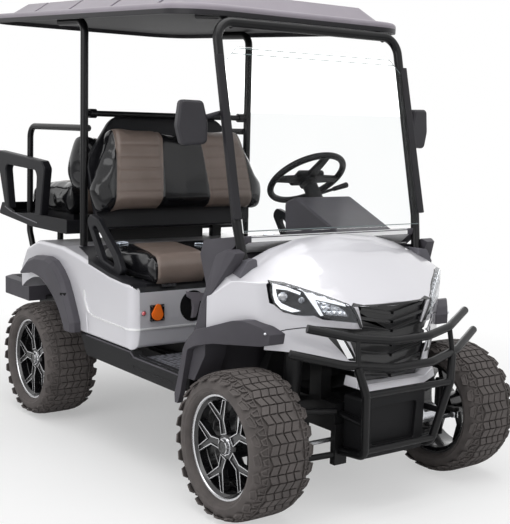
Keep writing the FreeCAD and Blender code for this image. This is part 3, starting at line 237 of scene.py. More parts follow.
# Tyres: 22 by 10 for a 14-inch rim, vulcanised rubber with an all-terrain tread. Zigzag
# centre lugs, and shoulder lugs with sunk triangles that run down onto the sidewall.
PITCHES, TREAD_RADIUS = 24, 279
LUG_HIGH, SHOULDER_HIGH, SIDE_HIGH, PIT = 8.3, 8.0, 4.5, 5.0
LUG_COLUMN, LUG_WIDE, LUG_GAP = 17.6, 29, 5
CARCASS = [(0, 270.5), (60, 270), (86, 267.5), (104, 261.5), (116, 251), (123, 237),
           (125, 224), (122, 212), (117, 204), (110, 200), (104, 197.2)]
PITCH = 2 * math.pi * TREAD_RADIUS / PITCHES


def crown_point(along, lift):
    """Across and radius of a point on the carcass, an arc length from its middle."""
    left = abs(along)
    for (x0, r0), (x1, r1) in zip(CARCASS, CARCASS[1:]):
        span = math.hypot(x1 - x0, r1 - r0)
        if left <= span or x1 == CARCASS[-1][0]:
            share = left / span
            x = x0 + (x1 - x0) * share + (r0 - r1) / span * lift
            return math.copysign(x, along), r0 + (r1 - r0) * share + (x1 - x0) / span * lift
        left -= span


def pushed_out(bm, corners, move):
    """Push a flat outline out to a block; gives its far face and whether that looks out."""
    base = bm.faces.new([bm.verts.new(corner) for corner in corners])
    grown = bmesh.ops.extrude_face_region(bm, geom=[base])["geom"]
    tips = [g for g in grown if isinstance(g, bmesh.types.BMVert)]
    bmesh.ops.translate(bm, verts=tips, vec=move)
    cap = next(g for g in grown if isinstance(g, bmesh.types.BMFace))
    cap.normal_update()
    return cap, (1 if cap.normal.dot(Vector(move)) > 0 else -1)


def lug(bm, corners, top, pocket=0.0):
    """One rubber block on the flat tread; a pocket leaves a rim 5 mm wide round a pit."""
    cap, way = pushed_out(bm, [(u, v, -2) for u, v in corners], (0, 0, top + 0.8))
    bmesh.ops.inset_individual(bm, faces=[cap], thickness=1.2, depth=1.2 * way)
    if pocket:
        bmesh.ops.inset_individual(bm, faces=[cap], thickness=5.0, depth=0.0)
        bmesh.ops.inset_individual(bm, faces=[cap], thickness=1.0, depth=-pocket * way)


def turned(bm, outline, steps=96):
    """Spin a closed outline of (x, radius) in millimetres about the axle."""
    loop = [bm.verts.new((x, 0, r)) for x, r in outline]
    edges = [bm.edges.new((loop[i - 1], loop[i])) for i in range(len(loop))]
    bmesh.ops.spin(bm, geom=loop + edges, cent=(0, 0, 0), axis=(1, 0, 0), dvec=(0, 0, 0),
                   angle=2 * math.pi, steps=steps, use_merge=True, use_duplicate=False)


def tyre_mesh():
    bm = bmesh.new()
    step = PITCH / 2
    for column in (-3, -1, 1, 3):
        v = column * LUG_COLUMN
        for row, lean in ((0, 13), (1, -13)):
            u = row * step + 2
            end, low = u + step - LUG_GAP, v - LUG_WIDE / 2 - lean / 2
            high = low + LUG_WIDE
            lug(bm, [(u, low), (end, low + lean), (end, high + lean), (u, high)], LUG_HIGH)
    for side in (-1, 1):
        for corners, top, pocket in (
                ([(1, 79), (35, 79), (31, 104), (13, 110)], SHOULDER_HIGH, PIT),
                ([(39, 79), (71, 79), (66, 97), (46, 103)], SHOULDER_HIGH, PIT),
                ([(19, 116), (36, 107), (62, 101), (72, 109), (62, 131), (28, 136)],
                 SIDE_HIGH, 3.0)):
            lug(bm, [(u, side * v) for u, v in corners], top, pocket)
    for vert in bm.verts:
        x, r = crown_point(vert.co.y, vert.co.z)
        turn = vert.co.x / TREAD_RADIUS
        vert.co = (x, r * math.sin(turn), r * math.cos(turn))
    bmesh.ops.spin(bm, geom=bm.verts[:] + bm.edges[:] + bm.faces[:], cent=(0, 0, 0),
                   axis=(1, 0, 0), dvec=(0, 0, 0), use_duplicate=True, use_merge=False,
                   angle=2 * math.pi * (PITCHES - 1) / PITCHES, steps=PITCHES - 1)
    ribs = [(125.5, 224), (126.6, 221.5), (124.6, 219), (122, 212), (122.6, 209.5), (120, 207)]
    outer = CARCASS[:6] + ribs + CARCASS[8:]
    turned(bm, [(-x, r) for x, r in outer[:0:-1]] + outer + [(96, 197.2), (-96, 197.2)])
    bmesh.ops.recalc_face_normals(bm, faces=bm.faces)
    return bm


# road dust gathers in patches of 60 mm, the moulded skin is matt at 3 mm
tyre_rubber = finish("tyre_rubber", {"Specular IOR Level": 0.35}, ("#3F3B3A", "#6B6563"),
                     (16.0, 6.0), (0.6, 0.9), (330.0, 2.0, 0.4, 0.0005))


# Rims: cast alloy in gloss black, five forked spokes whose edges are machined bright, a
# bright lip and a stepped hub cap pressed into the middle.
SPOKE = [(44, -20), (96, -17), (168, -63), (173, -40), (122, 0), (173, 40), (168, 63),
         (96, 17), (44, 20)]
BARREL = [(-100, 196), (-100, 187), (-88, 174), (-20, 168), (18, 168), (20, 171), (50, 171),
          (52, 174), (84, 174.5), (95, 187), (99, 189), (100, 196), (86, 185), (-86, 185)]


def rim_mesh():
    bm = bmesh.new()
    turned(bm, BARREL)
    for face in bm.faces:
        face.material_index = 1 if face.calc_center_median().x > 96.5 else 0
    for i in range(5):
        turn = Matrix.Rotation(math.radians(90 + 72 * i), 4, "X")
        cap, way = pushed_out(bm, [turn @ Vector((54, b, a)) for a, b in SPOKE],
                              (22, 0, 0))
        for vert in cap.verts:
            vert.co.x += 8 * max(0, math.hypot(vert.co.y, vert.co.z) - 100) / 75
        cap.normal_update()
        bmesh.ops.inset_individual(bm, faces=[cap], thickness=1.2, depth=1.0 * way)
        edge = bmesh.ops.inset_individual(bm, faces=[cap], thickness=4.2, depth=0.0)
        for face in edge["faces"]:
            face.material_index = 1
        cap.material_index = 0
        bmesh.ops.inset_individual(bm, faces=[cap], thickness=1.5, depth=-5.0 * way)
    turned(bm, [(-22, 24), (-22, 50), (66, 50), (74, 45), (76, 34), (76, 24)], 48)
    bmesh.ops.recalc_face_normals(bm, faces=bm.faces)
    return bm


def cap_mesh():
    bm = bmesh.new()
    turned(bm, [(74, 2), (74, 36), (80, 35), (80, 31), (91, 28), (92, 25), (88, 22),
                (88, 2)], 32)
    for vert in bm.verts:
        turn = math.atan2(vert.co.z, vert.co.y)
        if vert.co.x > 79 and math.hypot(vert.co.y, vert.co.z) > 26:
            notch = 0.9 if math.cos(6 * turn) > 0.5 else 1.0
            vert.co.y *= notch
            vert.co.z *= notch
    for face in bm.faces:
        centre = face.calc_center_median()
        face.material_index = 0 if math.hypot(centre.y, centre.z) < 24 else 1
    bmesh.ops.recalc_face_normals(bm, faces=bm.faces)
    return bm


def bright_alloy(name, shade, roughness):
    # lathe marks are 0.1 mm, drawn at 2 mm as a faint change of gloss
    return finish(name, {"Metallic": 1.0}, (shade, "#E6E6E8"), (500.0, 2.0),
                  (roughness - 0.06, roughness + 0.06))


def black_lacquer(name, shade, roughness):
    return finish(name, {"Coat Weight": 0.6, "Coat Roughness": 0.06}, (shade, "#17171A"),
                  (30.0, 3.0), (roughness - 0.05, roughness + 0.05))


machined = bright_alloy("machined_alloy", "#C9CACD", 0.26)
rim_black = black_lacquer("gloss_black_lacquer", "#09090A", 0.28)
FRONT_AXLE, REAR_AXLE, AXLE_HEIGHT, HALF_TRACK = -1.15, 0.53, 0.279, 0.543
for corner, side, y in (("front_left", 1, FRONT_AXLE), ("front_right", -1, FRONT_AXLE),
                        ("rear_left", 1, REAR_AXLE), ("rear_right", -1, REAR_AXLE)):
    place = Matrix.Translation((side * HALF_TRACK, y, AXLE_HEIGHT)) @ Matrix.Rotation(
        0 if side > 0 else math.pi, 4, "Z") @ Matrix.Scale(0.001, 4)
    for kind, make, coats in (("tyre", tyre_mesh, [tyre_rubber]),
                              ("rim", rim_mesh, [rim_black, machined]),
                              ("hub_cap", cap_mesh, [rim_black, machined])):
        bm = make()
        bm.transform(place)
        made = piece(f"{kind}_{corner}_skin", bm, coats, f"wheel_{corner}",
                     30)
        if kind != "hub_cap":
            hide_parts(f"{kind}_{corner}")


# Seats: moulded foam pads under sewn vinyl, glossy black at the ends and between the two
# places, taupe with cross channels where people sit. Each pad is blown up as a cloth from
# a slightly smaller form, then its seams are pulled in.
def facings(mesh):
    """The normal at each vertex, taken before any of them moves."""
    return [vert.normal.copy() for vert in mesh.vertices]


def relax(mesh, times):
    """Calm a mesh's bumps and round its corners."""
    bm = bmesh.new()
    bm.from_mesh(mesh)
    for step in range(times):
        bmesh.ops.smooth_vert(bm, verts=bm.verts, factor=0.5, use_axis_x=True,
                              use_axis_y=True, use_axis_z=True)
    bm.to_mesh(mesh)
    bm.free()


def pad_form(node, rounds, voxel=0.008, less=0.002):
    """A closed, even mesh of the pad's solid, slightly smaller than its cover."""
    bm = bmesh.new()
    bm.from_mesh(nodes[node].data)
    bmesh.ops.remove_doubles(bm, verts=bm.verts, dist=2e-5)
    rough = bpy.data.meshes.new(f"{node}_foam")
    bm.to_mesh(rough)
    bm.free()
    foam = bpy.data.objects.new(f"{node}_foam", rough)
    bpy.context.scene.collection.objects.link(foam)
    remesh = foam.modifiers.new("even_mesh", "REMESH")
    remesh.mode = "VOXEL"
    remesh.voxel_size = voxel
    graph = bpy.context.evaluated_depsgraph_get()
    even = bpy.data.meshes.new_from_object(foam.evaluated_get(graph))
    foam.modifiers.clear()
    foam.data = even
    for vert, normal in zip(even.vertices, facings(even)):
        vert.co -= normal * less
    relax(even, rounds)
    return foam


def blow_up(foam, cap):
    """Let air pressure round the cover, each point moving no more than the cap."""
    start = [vert.co.copy() for vert in foam.data.vertices]
    cloth = foam.modifiers.new("cover", "CLOTH")
    cloth.settings.use_pressure = True
    cloth.settings.uniform_pressure_force = 4.0
    cloth.settings.effector_weights.gravity = 0.0
    cloth.settings.quality = 4
    cloth.settings.mass = 0.4
    cloth.point_cache.frame_start = 1
    cloth.point_cache.frame_end = 20
    scene = bpy.context.scene
    for step in range(1, 21):
        scene.frame_set(step)
    graph = bpy.context.evaluated_depsgraph_get()
    blown = foam.evaluated_get(graph).data
    ends = [vert.co.copy() for vert in blown.vertices]
    foam.modifiers.clear()
    for vert, first, last in zip(foam.data.vertices, start, ends):
        move = last - first
        vert.co = first + move * min(1.0, cap / max(move.length, 1e-9))
    relax(foam.data, 12)


def crown(foam, middle, reach, way, lift):
    """Raise the pad's sitting face towards the middle of each place."""
    for vert, normal in zip(foam.data.vertices, facings(foam.data)):
        facing = max(0.0, normal.dot(way))
        off = [(abs(vert.co[i]) if i == 0 else vert.co[i]) - middle[i] for i in range(3)]
        near = sum((off[i] / reach[i]) ** 2 for i in range(3))
        vert.co += way * lift * facing * math.exp(-near)


def sew(foam, to_local, seams, way):
    """Pull the cover in along seams, each a distance function with a depth and a width."""
    for vert, normal in zip(foam.data.vertices, facings(foam.data)):
        if normal.dot(way) > 0.1:
            point = to_local @ vert.co
            sink = sum(depth * math.exp(-(distance(point) / width) ** 2)
                       for distance, depth, width in seams)
            vert.co -= normal * sink


def finish_pad(foam, node, material):
    foam.name = f"{node}_cover"
    foam.data.materials.clear()
    foam.data.materials.append(material)
    foam.data.shade_smooth()
    for face in foam.data.polygons:
        face.material_index = 0
    finer = foam.modifiers.new("finer", "SUBSURF")
    finer.levels = 1
    finer.render_levels = 1
    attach(foam, body_of[node])
    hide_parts(node)


def two_tone_vinyl(name, panel, slope, along, ends, shift=(0, 0, 0), turn=0.0):
    """Taupe between two seams on each half, glossy black elsewhere; sizes in metres."""
    material = new_finish(name, {"Coat Weight": 0.22, "Coat Roughness": 0.1,
                                         "Specular IOR Level": 0.35})
    # the vinyl's leather grain has 1.5 mm cells, drawn at 5 mm so that it shows
    place = object_place(material)
    local = add(material, "Mapping", {"Vector": place, "Location": shift,
                                      "Rotation": (turn, 0, 0)}, vector_type="TEXTURE")
    axes = add(material, "SeparateXYZ", {0: local}).node.outputs
    side = add(material, "Math", {0: axes["X"]}, operation="ABSOLUTE")
    lean = add(material, "Math", {0: axes[along], 1: slope, 2: side},
               operation="MULTIPLY_ADD")
    taken = 1.0
    for value, seam, soft in ((lean, panel[0], 0.001), (lean, panel[1], -0.001),
                              (axes[along], ends[0], 0.001), (axes[along], ends[1], -0.001)):
        within = add(material, "MapRange", {"Value": value, "From Min": seam - soft,
                                            "From Max": seam + soft})
        taken = add(material, "Math", {0: taken, 1: within}, operation="MULTIPLY")
    grain = add(material, "TexVoronoi", {"Vector": place, "Scale": 200.0},
                feature="SMOOTH_F1")
    cloud = add(material, "TexNoise", {"Vector": place, "Scale": 8.0, "Detail": 3.0})
    taupe = add(material, "Mix", {0: cloud, 6: "#74675F", 7: "#8B7C75"})
    black = add(material, "Mix", {0: cloud, 6: "#0B0B0D", 7: "#1D1D20"})
    tone = add(material, "Mix", {0: taken, 6: black, 7: taupe})
    shine = add(material, "MapRange", {"Value": taken, "To Min": 0.14, "To Max": 0.42})
    relief = add(material, "Bump", {"Height": grain, "Strength": 0.25, "Distance": 0.0006})
    join_to(material, Base_Color=tone, Roughness=shine, Normal=relief)
    return material


def panel_seams(panel, slopes, run, channels, depth=0.005):
    """The seams beside a place's taupe panel, and the channels sewn across the panel."""
    def off(point, end):
        return abs(point.x) + slopes[end] * point[run] - panel[end]

    def across(point, at):
        return point[run] - at if off(point, 0) > 0 > off(point, 1) else 1.0
    return ([(lambda p: off(p, 1), depth, 0.006), (lambda p: off(p, 0), depth, 0.006)]
            + [(lambda p, at=at: across(p, at), 0.004, 0.005) for at in channels])


def upholster(node, rounds, cap, hump, way, panel, seams, cover, facing=None,
              local=None):
    """One seat's pad: its form blown up, crowned, sewn and covered."""
    foam = pad_form(node, rounds)
    blow_up(foam, cap)
    crown(foam, *hump[:2], way, hump[2])
    sew(foam, local or Matrix.Identity(4), panel_seams(panel, *seams), facing or way)
    finish_pad(foam, node, two_tone_vinyl(cover[0], panel, *cover[1:]))
    return foam


# Front back: two humped places on a leaning board, five cross channels on each.
LEAN = math.radians(13)
BACK_FOOT = Vector((0, 0.128, 1.03))
to_back = (Matrix.Translation(BACK_FOOT) @ Matrix.Rotation(-LEAN, 4, "X")).inverted()
upholster("front_seat_back", 44, 0.022, ((0.26, 0.17, 1.24), (0.17, 0.3, 0.2), 0.012),
          Vector((0, -math.cos(LEAN), math.sin(LEAN))),
          (0.144, 0.398), ((0.06, 0.125), 2, (0.094, 0.15, 0.207, 0.267, 0.326), 0.006),
          ("two_tone_vinyl_back", 0.1, "Z", (-0.2, 0.8), BACK_FOOT, -LEAN),
          local=to_back)

# Front cushion: a lid whose taupe panels narrow towards the back, one cross seam each.
seat = upholster("front_seat_cushion", 14, 0.016, ((0.26, -0.2, 0.88), (0.19, 0.2, 0.2), 0.01),
                 Vector((0, 0, 1)), (0.132, 0.369), ((0.262, 0.262), 1, (-0.15,)),
                 ("two_tone_vinyl_seat", 0.262, "Y", (-0.8, 0.2)),
                 Vector((0, -0.5, 0.866)))

# Rear bench: a thick cushion and a back, both facing the tail, taupe across the middle.
upholster("rear_seat_cushion", 14, 0.016, ((0.2, 0.8, 1.12), (0.17, 0.2, 0.2), 0.008),
          Vector((0, 0, 1)), (0.06, 0.35), ((0, 0), 1, (0.86,)),
          ("two_tone_vinyl_rear_seat", 0.0, "Y", (0.0, 2.0)),
          Vector((0, 0.5, 0.866)))
upholster("rear_seat_back", 30, 0.02, ((0.22, 0.5, 1.25), (0.16, 0.3, 0.12), 0.008),
          Vector((0, 1, 0)), (0.12, 0.38), ((0, 0), 2, (1.17, 1.225, 1.28, 1.335)),
          ("two_tone_vinyl_rear_back", 0.0, "Z", (0.0, 2.0)))
bpy.context.scene.frame_set(1)


# Nose lamps and grille: smoked housings let into the bonnet's corners, each with white
# light guides round a projector and a cut-glass block, under a clear polycarbonate cover.
def tree_of(*names):
    """A search tree over the solids of some nodes."""
    bm = bmesh.new()
    for name in names:
        bm.from_mesh(nodes[name].data)
    tree = BVHTree.FromBMesh(bm)
    bm.free()
    return tree


def holds(outline, u, v):
    """Whether a closed outline goes round the point."""
    inside = False
    for (a, b), (c, d) in zip(outline, outline[1:] + outline[:1]):
        if (b > v) != (d > v) and u < (c - a) * (v - b) / (d - b) + a:
            inside = not inside
    return inside


def laid(tree, outline, look, lift, thick, cell=12):
    """A plate of the outline, in millimetres, pressed onto a surface seen along +-X, Y or Z."""
    axis, sign = "XYZ".index(look[1]), (1 if look[0] == "+" else -1)
    across, up = [i for i in range(3) if i != axis]
    low = [min(corner[i] for corner in outline) for i in (0, 1)]
    high = [max(corner[i] for corner in outline) for i in (0, 1)]
    bm = bmesh.new()
    bmesh.ops.create_grid(bm, x_segments=max(1, round((high[0] - low[0]) / cell)),
                          y_segments=max(1, round((high[1] - low[1]) / cell)), size=0.5)
    bmesh.ops.scale(bm, vec=(high[0] - low[0], high[1] - low[1], 1), verts=bm.verts)
    bmesh.ops.translate(bm, verts=bm.verts, vec=((low[0] + high[0]) / 2,
                                                 (low[1] + high[1]) / 2, 0))
    for (a, b), (c, d) in zip(outline, outline[1:] + outline[:1]):
        bmesh.ops.bisect_plane(bm, geom=bm.verts[:] + bm.edges[:] + bm.faces[:], dist=0.05,
                               plane_co=(a, b, 0), plane_no=(b - d, c - a, 0))
    middles = [(face, face.calc_center_median()) for face in bm.faces]
    outside = [face for face, mid in middles if not holds(outline, mid.x, mid.y)]
    bmesh.ops.delete(bm, geom=outside, context="FACES")
    ray = Vector((0, 0, 0))
    ray[axis] = sign
    for vert in bm.verts:
        eye = Vector((0, 0, 0))
        eye[axis], eye[across], eye[up] = -4 * sign, vert.co.x / 1000, vert.co.y / 1000
        spot = tree.ray_cast(eye, ray)[0]
        vert.co = spot - ray * lift / 1000 if spot else Vector((0, 0, -9))
    bmesh.ops.delete(bm, geom=[v for v in bm.verts if v.co.z < -5], context="VERTS")
    raised = bmesh.ops.extrude_face_region(bm, geom=bm.faces[:])["geom"]
    bmesh.ops.translate(bm, vec=-ray * thick / 1000,
                        verts=[g for g in raised if isinstance(g, bmesh.types.BMVert)])
    bmesh.ops.recalc_face_normals(bm, faces=bm.faces)
    return bm


def band(points, wide):
    """The outline of a strip of even width along a line of points."""
    sides = ([], [])
    for i, (u, v) in enumerate(points):
        before, after = points[max(i - 1, 0)], points[min(i + 1, len(points) - 1)]
        run = Vector((after[0] - before[0], after[1] - before[1])).normalized()
        for side, way in zip(sides, (1, -1)):
            side.append((u - way * run.y * wide / 2, v + way * run.x * wide / 2))
    return sides[0] + sides[1][::-1]


def flipped(outline, side):
    """The outline for one side of the cart, drawn for the driver's side."""
    return [(side * u, v) for u, v in outline]


def fitted(name, tree, outline, look, lift, thick, material, cell=12, smooth=30):
    """A laid plate as a finished piece on the body of the cart."""
    made = laid(tree, outline, look, lift, thick, cell)
    return piece(name, made, [material], "cart", smooth)


def ball(radius, steps, spot, flat=1.0, turn=0.0):
    """A round bulb, flattened along Y, turned about Z and set on a spot."""
    bm = bmesh.new()
    bmesh.ops.create_uvsphere(bm, u_segments=steps, v_segments=steps // 2, radius=radius)
    bmesh.ops.scale(bm, verts=bm.verts, vec=(1, flat, 1))
    bmesh.ops.rotate(bm, verts=bm.verts, matrix=Matrix.Rotation(turn, 3, "Z"))
    bmesh.ops.translate(bm, verts=bm.verts, vec=spot)
    return bm


def clear_cover(name, tint, roughness):
    """Clear moulded plastic whose thickness shows as a faint tint."""
    return finish(name, {"Transmission Weight": 1.0, "IOR": 1.1, "Roughness": roughness},
                  (tint, "#FFFFFF"), (3.0,))


LAMP_EDGE = [(169, 738), (210, 808), (281, 840), (346, 864), (397, 882), (440, 887),
             (446, 857), (440, 824), (428, 794), (404, 771), (370, 762), (344, 760),
             (315, 762), (289, 748)]
OUTER_GUIDE = [(356, 848), (400, 868), (438, 878), (436, 834), (429, 807), (412, 784),
               (380, 772), (354, 778), (385, 791), (412, 806), (424, 828), (429, 858),
               (396, 854), (358, 838)]
INNER_GUIDE = [(349, 852), (297, 762), (289, 764), (314, 822), (225, 800), (228, 810)]
CUT_GLASS = [(312, 818), (254, 803), (228, 786), (218, 764), (286, 767), (300, 796)]
smoked = black_lacquer("smoked_lamp_housing", "#17171A", 0.12)
# the moulded ribs inside the guide are 1 mm, drawn at 6 mm
guide_white = finish("white_light_guide", {"Roughness": 0.12, "Coat Weight": 0.6,
                                           "Emission Strength": 0.25},
                     ("#F4F6FA", "#FFFFFF"), (52.0,), kind="TexWave",
                     sockets=("Base_Color", "Emission_Color"), bands_direction="Z")
# cells that run from white to dark grey are painted glints and shade of the cut facets
cut_glass = finish("cut_acrylic", {"Metallic": 0.9, "Roughness": 0.06},
                   ("#F2F4F8", "#5A5C62"), (60.0,), kind="TexVoronoi")
lens_clear = clear_cover("clear_polycarbonate", "#F6F9FC", 0.02)
SIDES = ((1, "left"), (-1, "right"))
nose = tree_of("front_cowl", "headlights")
covers = bmesh.new()
for side, where in SIDES:
    edge = flipped(LAMP_EDGE, side)
    fitted(f"lamp_housing_{where}", nose, edge, "+Y", -2, 5, smoked)
    for name, shape in (("outer", OUTER_GUIDE), ("inner", INNER_GUIDE)):
        fitted(f"light_guide_{name}_{where}", nose, flipped(shape, side), "+Y", 3, 3,
               guide_white)
    glass = laid(nose, flipped(CUT_GLASS, side), "+Y", 3, 2, 17)
    front = [face for face in glass.faces if face.normal.y < -0.3]
    bmesh.ops.poke(glass, faces=front, offset=0.006)
    piece(f"cut_glass_block_{where}", glass, [cut_glass], "cart")
    for u, v, wide in ((407, 828, 19), (352, 818, 12)):
        eye = nose.ray_cast(Vector((side * u / 1000, -4, v / 1000)), Vector((0, 1, 0)))[0]
        bulb = ball(wide / 1000, 24, eye + Vector((0, -0.003, 0)), 0.4,
                    side * math.radians(38))
        piece(f"projector_{wide}_{where}", bulb, [cut_glass], "cart", 60)
    cover = laid(nose, edge, "+Y", 9, 1.5)
    part = bpy.data.meshes.new("cover_half")
    cover.to_mesh(part)
    cover.free()
    covers.from_mesh(part)
lens = piece("headlight_covers", covers, [lens_clear], "cart", 30)
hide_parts("headlights")


# Grille surround, daytime strips and the seams of the front panel: black frames standing
# a little proud, with a white light guide sloping down each side of the lower grille.
grille_black = black_lacquer("grille_lacquer", "#0C0C0E", 0.3)
dressed("grille", grille_black, 1.0)
front_panel = tree_of("front_cowl", "headlights", "grille", "bumper_lip")
UPPER_FRAME = [(0, 796), (150, 798), (186, 806), (206, 800), (160, 712)]
DAY_FRAME = [(282, 696), (230, 694), (176, 592), (206, 596)]
DAY_GUIDE = [(252, 688), (234, 686), (196, 606), (213, 604)]
PANEL_SEAM = [(452, 654), (441, 680), (417, 697), (389, 706), (348, 714), (300, 718)]
seam_black = moulded_plastic("seam_shadow", "#0E0E10", "#161619", 0.7)
for side, where in SIDES:
    for name, tree, outline, lift, thick, material, slot, cell in (
            ("grille_frame", front_panel, band(UPPER_FRAME, 9), -1, 7, grille_black,
             "gloss_black", 8),
            ("day_lamp_frame", nose, DAY_FRAME, -1, 3, grille_black, "gloss_black", 10),
            ("day_lamp", nose, DAY_GUIDE, 2, 3, guide_white, "lamp_lens", 10),
            ("panel_seam", nose, band(PANEL_SEAM, 3.5), -1, 1.6, seam_black,
             "gloss_black", 8)):
        fitted(f"{name}_{where}", tree, flipped(outline, side), "+Y", lift, thick, material,
               cell)


# Roof and windshield: a vacuum-formed canopy, satin mauve-grey above and painted near-black
# below its edge as shade along the rim's lowest lip, and a flat acrylic sheet clipped to the
# front hoop with polished edges.
ROOF_FRONT, ROOF_LOW, ROOF_SLOPE = -0.794, 1.872, math.tan(math.radians(2.5))
# the lowest 20 mm of the roof's rim is painted near-black: a painted shade along its lip
SHADED_LIP = 0.02
roof_skin = moulded_plastic("satin_roof_skin", "#857F87", "#938D95", 0.38, 5.0, 0.0003)
axes = add(roof_skin, "SeparateXYZ", {0: object_place(roof_skin)}).node.outputs
back = add(roof_skin, "Math", {0: axes["Y"], 1: -ROOF_FRONT}, operation="ADD")
sunk = add(roof_skin, "Math", {0: back, 1: -ROOF_SLOPE, 2: axes["Z"]},
           operation="MULTIPLY_ADD")
# painted shade: below the lip's height the skin turns near-black
shade_under(roof_skin, sunk, ROOF_LOW + SHADED_LIP, 0.002, "#2A292C")
dressed("roof", roof_skin, 2.5, 24)
dressed("roof_liner", moulded_plastic("roof_liner_black", "#151517", "#202023", 0.5), 2.0)

acrylic = clear_cover("clear_acrylic", "#F8FBFB", 0.0)
dressed("windshield", acrylic, 0)
screen_edge = finish("polished_acrylic_edge", {"Roughness": 0.1, "Alpha": 0.85},
                     ("#5F6C6D", "#7F8B8C"), (6.0,))
sheet = tree_of("windshield")
SCREEN_RIM = [(-463, 1056), (463, 1056), (463, 1692), (403, 1750), (-403, 1750),
              (-463, 1692), (-463, 1060)]
FOLD_LINE = [(-424, 1728), (424, 1728)]
for name, line in (("rim", SCREEN_RIM), ("fold", FOLD_LINE)):
    fitted(f"screen_{name}", sheet, band(line, 4), "+Y", 0.5, 1, screen_edge,
           60)


# Seat-box fittings: the black base moulding that the cushion closes onto, the swage lines
# pressed into the box, its latch, charge socket, charge lamp and the hand-brake recess.
def mirrored(half):
    """A closed outline from its left half, which starts and ends on the middle line."""
    return half[:-1] + flipped(half[::-1], -1)[:-1]


def oblong(left, low, right, high):
    """The outline of a rectangle."""
    return [(left, low), (right, low), (right, high), (left, high)]


box_skin = tree_of("rear_body")
# a paler pearl, white at its brightest: a painted highlight on the swage beads, and the pale
# scuttle panel
pearl_and_highlight = pearl_paint("pale_pearl_and_painted_highlight", "#F4F4F6", "#FFFFFF")
BASE_HALF = [(0, -392), (560, -392), (582, -372), (588, -300), (590, 20), (552, 96),
             (516, 262), (0, 262)]
fitted("seat_base_moulding", box_skin, mirrored(BASE_HALF), "-Z", 1.5, 3, tub_black)
# the swage beads are drawn in the paler pearl: a painted highlight along each crease
FRONT_SWAGE = [(-588, 578), (-300, 578), (0, 579), (300, 578), (588, 578)]
SIDE_SWAGE = [(-388, 576), (-176, 579), (-40, 583), (0, 590), (26, 612), (43, 645),
              (52, 690)]
for name, line, look in (("front_swage_line", FRONT_SWAGE, "+Y"),
                         ("side_swage_line_right", SIDE_SWAGE, "+X"),
                         ("side_swage_line_left", SIDE_SWAGE, "-X")):
    fitted(name, box_skin, band(line, 7), look, -1, 5, pearl_and_highlight)

zinc = bright_alloy("zinc_plated_steel", "#B9BDC4", 0.28)
LATCH = [(-446, 756), (-380, 756), (-378, 767), (-448, 767)]
fitted("seat_latch", tree_of("seat_plinth"), LATCH, "+Y", 15.5, 5, zinc,
       10)


def arc(u, v, radius, steps=28, start=0.0, span=360.0):
    """Points along an arc, in equal steps from an angle; all of a circle if not told."""
    turns = [math.radians(start + span * i / steps) for i in range(steps)]
    return [(u + radius * math.cos(a), v + radius * math.sin(a)) for a in turns]


BRAKE_AT, CHARGE_AT, LAMP_AT = (-287, 661), (-477, 642), (-539, 648)
# a large round and, above it, a small one make the charge cover's teardrop
DROP = arc(*CHARGE_AT, 27, 17, -190, 204) + arc(-473, 672, 13, 11, 10, 176)
# matt black for the shade deep inside a recess or slot: a painted shadow
painted_recess_shadow = moulded_plastic("recess_shadow", "#060607", "#0B0B0C", 0.8)
# the recess's depth is a matt black disc of painted shadow inside its rim
fitted("brake_recess", box_skin, arc(*BRAKE_AT, 66), "+Y", -1, 1.8, painted_recess_shadow)
fitted("brake_recess_rim", box_skin, arc(*BRAKE_AT, 69), "+Y", -2, 2.2, tub_black)
GRIP = [(-326, 728), (-300, 722), (-240, 716), (-222, 700), (-228, 684), (-262, 682),
        (-272, 640), (-284, 612), (-302, 610), (-296, 650), (-300, 690), (-322, 704)]
grip = laid(box_skin, GRIP, "+Y", 0, 14, 14)
round_edges(grip, [e for e in grip.edges if e.calc_face_angle(0) > 0.9], 0.003, 2, True)
grip_grey = moulded_plastic("grip_grey", "#6E6A70", "#837E85", 0.4)
piece("brake_grip", grip, [grip_grey], "cart", 40)

orange = moulded_plastic("orange_moulding", "#F4701E", "#FC8030", 0.32, 5.0, 0.0002)
fitted("charge_socket_plate", box_skin, oblong(-508, 611, -440, 681), "+Y", 0, 8,
       grille_black)
fitted("charge_cover", box_skin, DROP, "+Y", 8, 8, orange, 60)
disc = fitted("charge_cover_disc", box_skin, arc(*CHARGE_AT, 20), "+Y", 16, 1.5,
              orange, 60)
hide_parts("charge_port")
for u in (-502, -446):
    for v in (617, 675):
        fitted(f"socket_screw_{-u}_{v}", box_skin, arc(u, v, 4, 10), "+Y", 8, 2,
               zinc, 20)

# the red dome runs in bands to pale pink: a painted highlight on the lens
red = finish("red_lamp_lens", {"Roughness": 0.08, "Coat Weight": 1.0},
             ("#C0202A", "#E88A90"), (60.0,), kind="TexWave")
lamp = ball(0.009, 20, (LAMP_AT[0] / 1000, -0.400, LAMP_AT[1] / 1000), 0.7)
piece("charge_lamp", lamp, [red], "cart", 60)
fitted("charge_lamp_bezel", box_skin, arc(*LAMP_AT, 12, 20), "+Y", -1, 3.5, zinc,
       30)


# Seat-belt buckles resting on the cushion: plated tongues, rounded and let in at the top,
# whose bluish colour comes from their passivation.
def block(size, edge, segments):
    """A block about the origin with rounded edges, in metres."""
    bm = bmesh.new()
    bmesh.ops.create_cube(bm, size=1)
    bmesh.ops.scale(bm, vec=size, verts=bm.verts)
    round_edges(bm, bm.edges[:], edge, segments)
    return bm


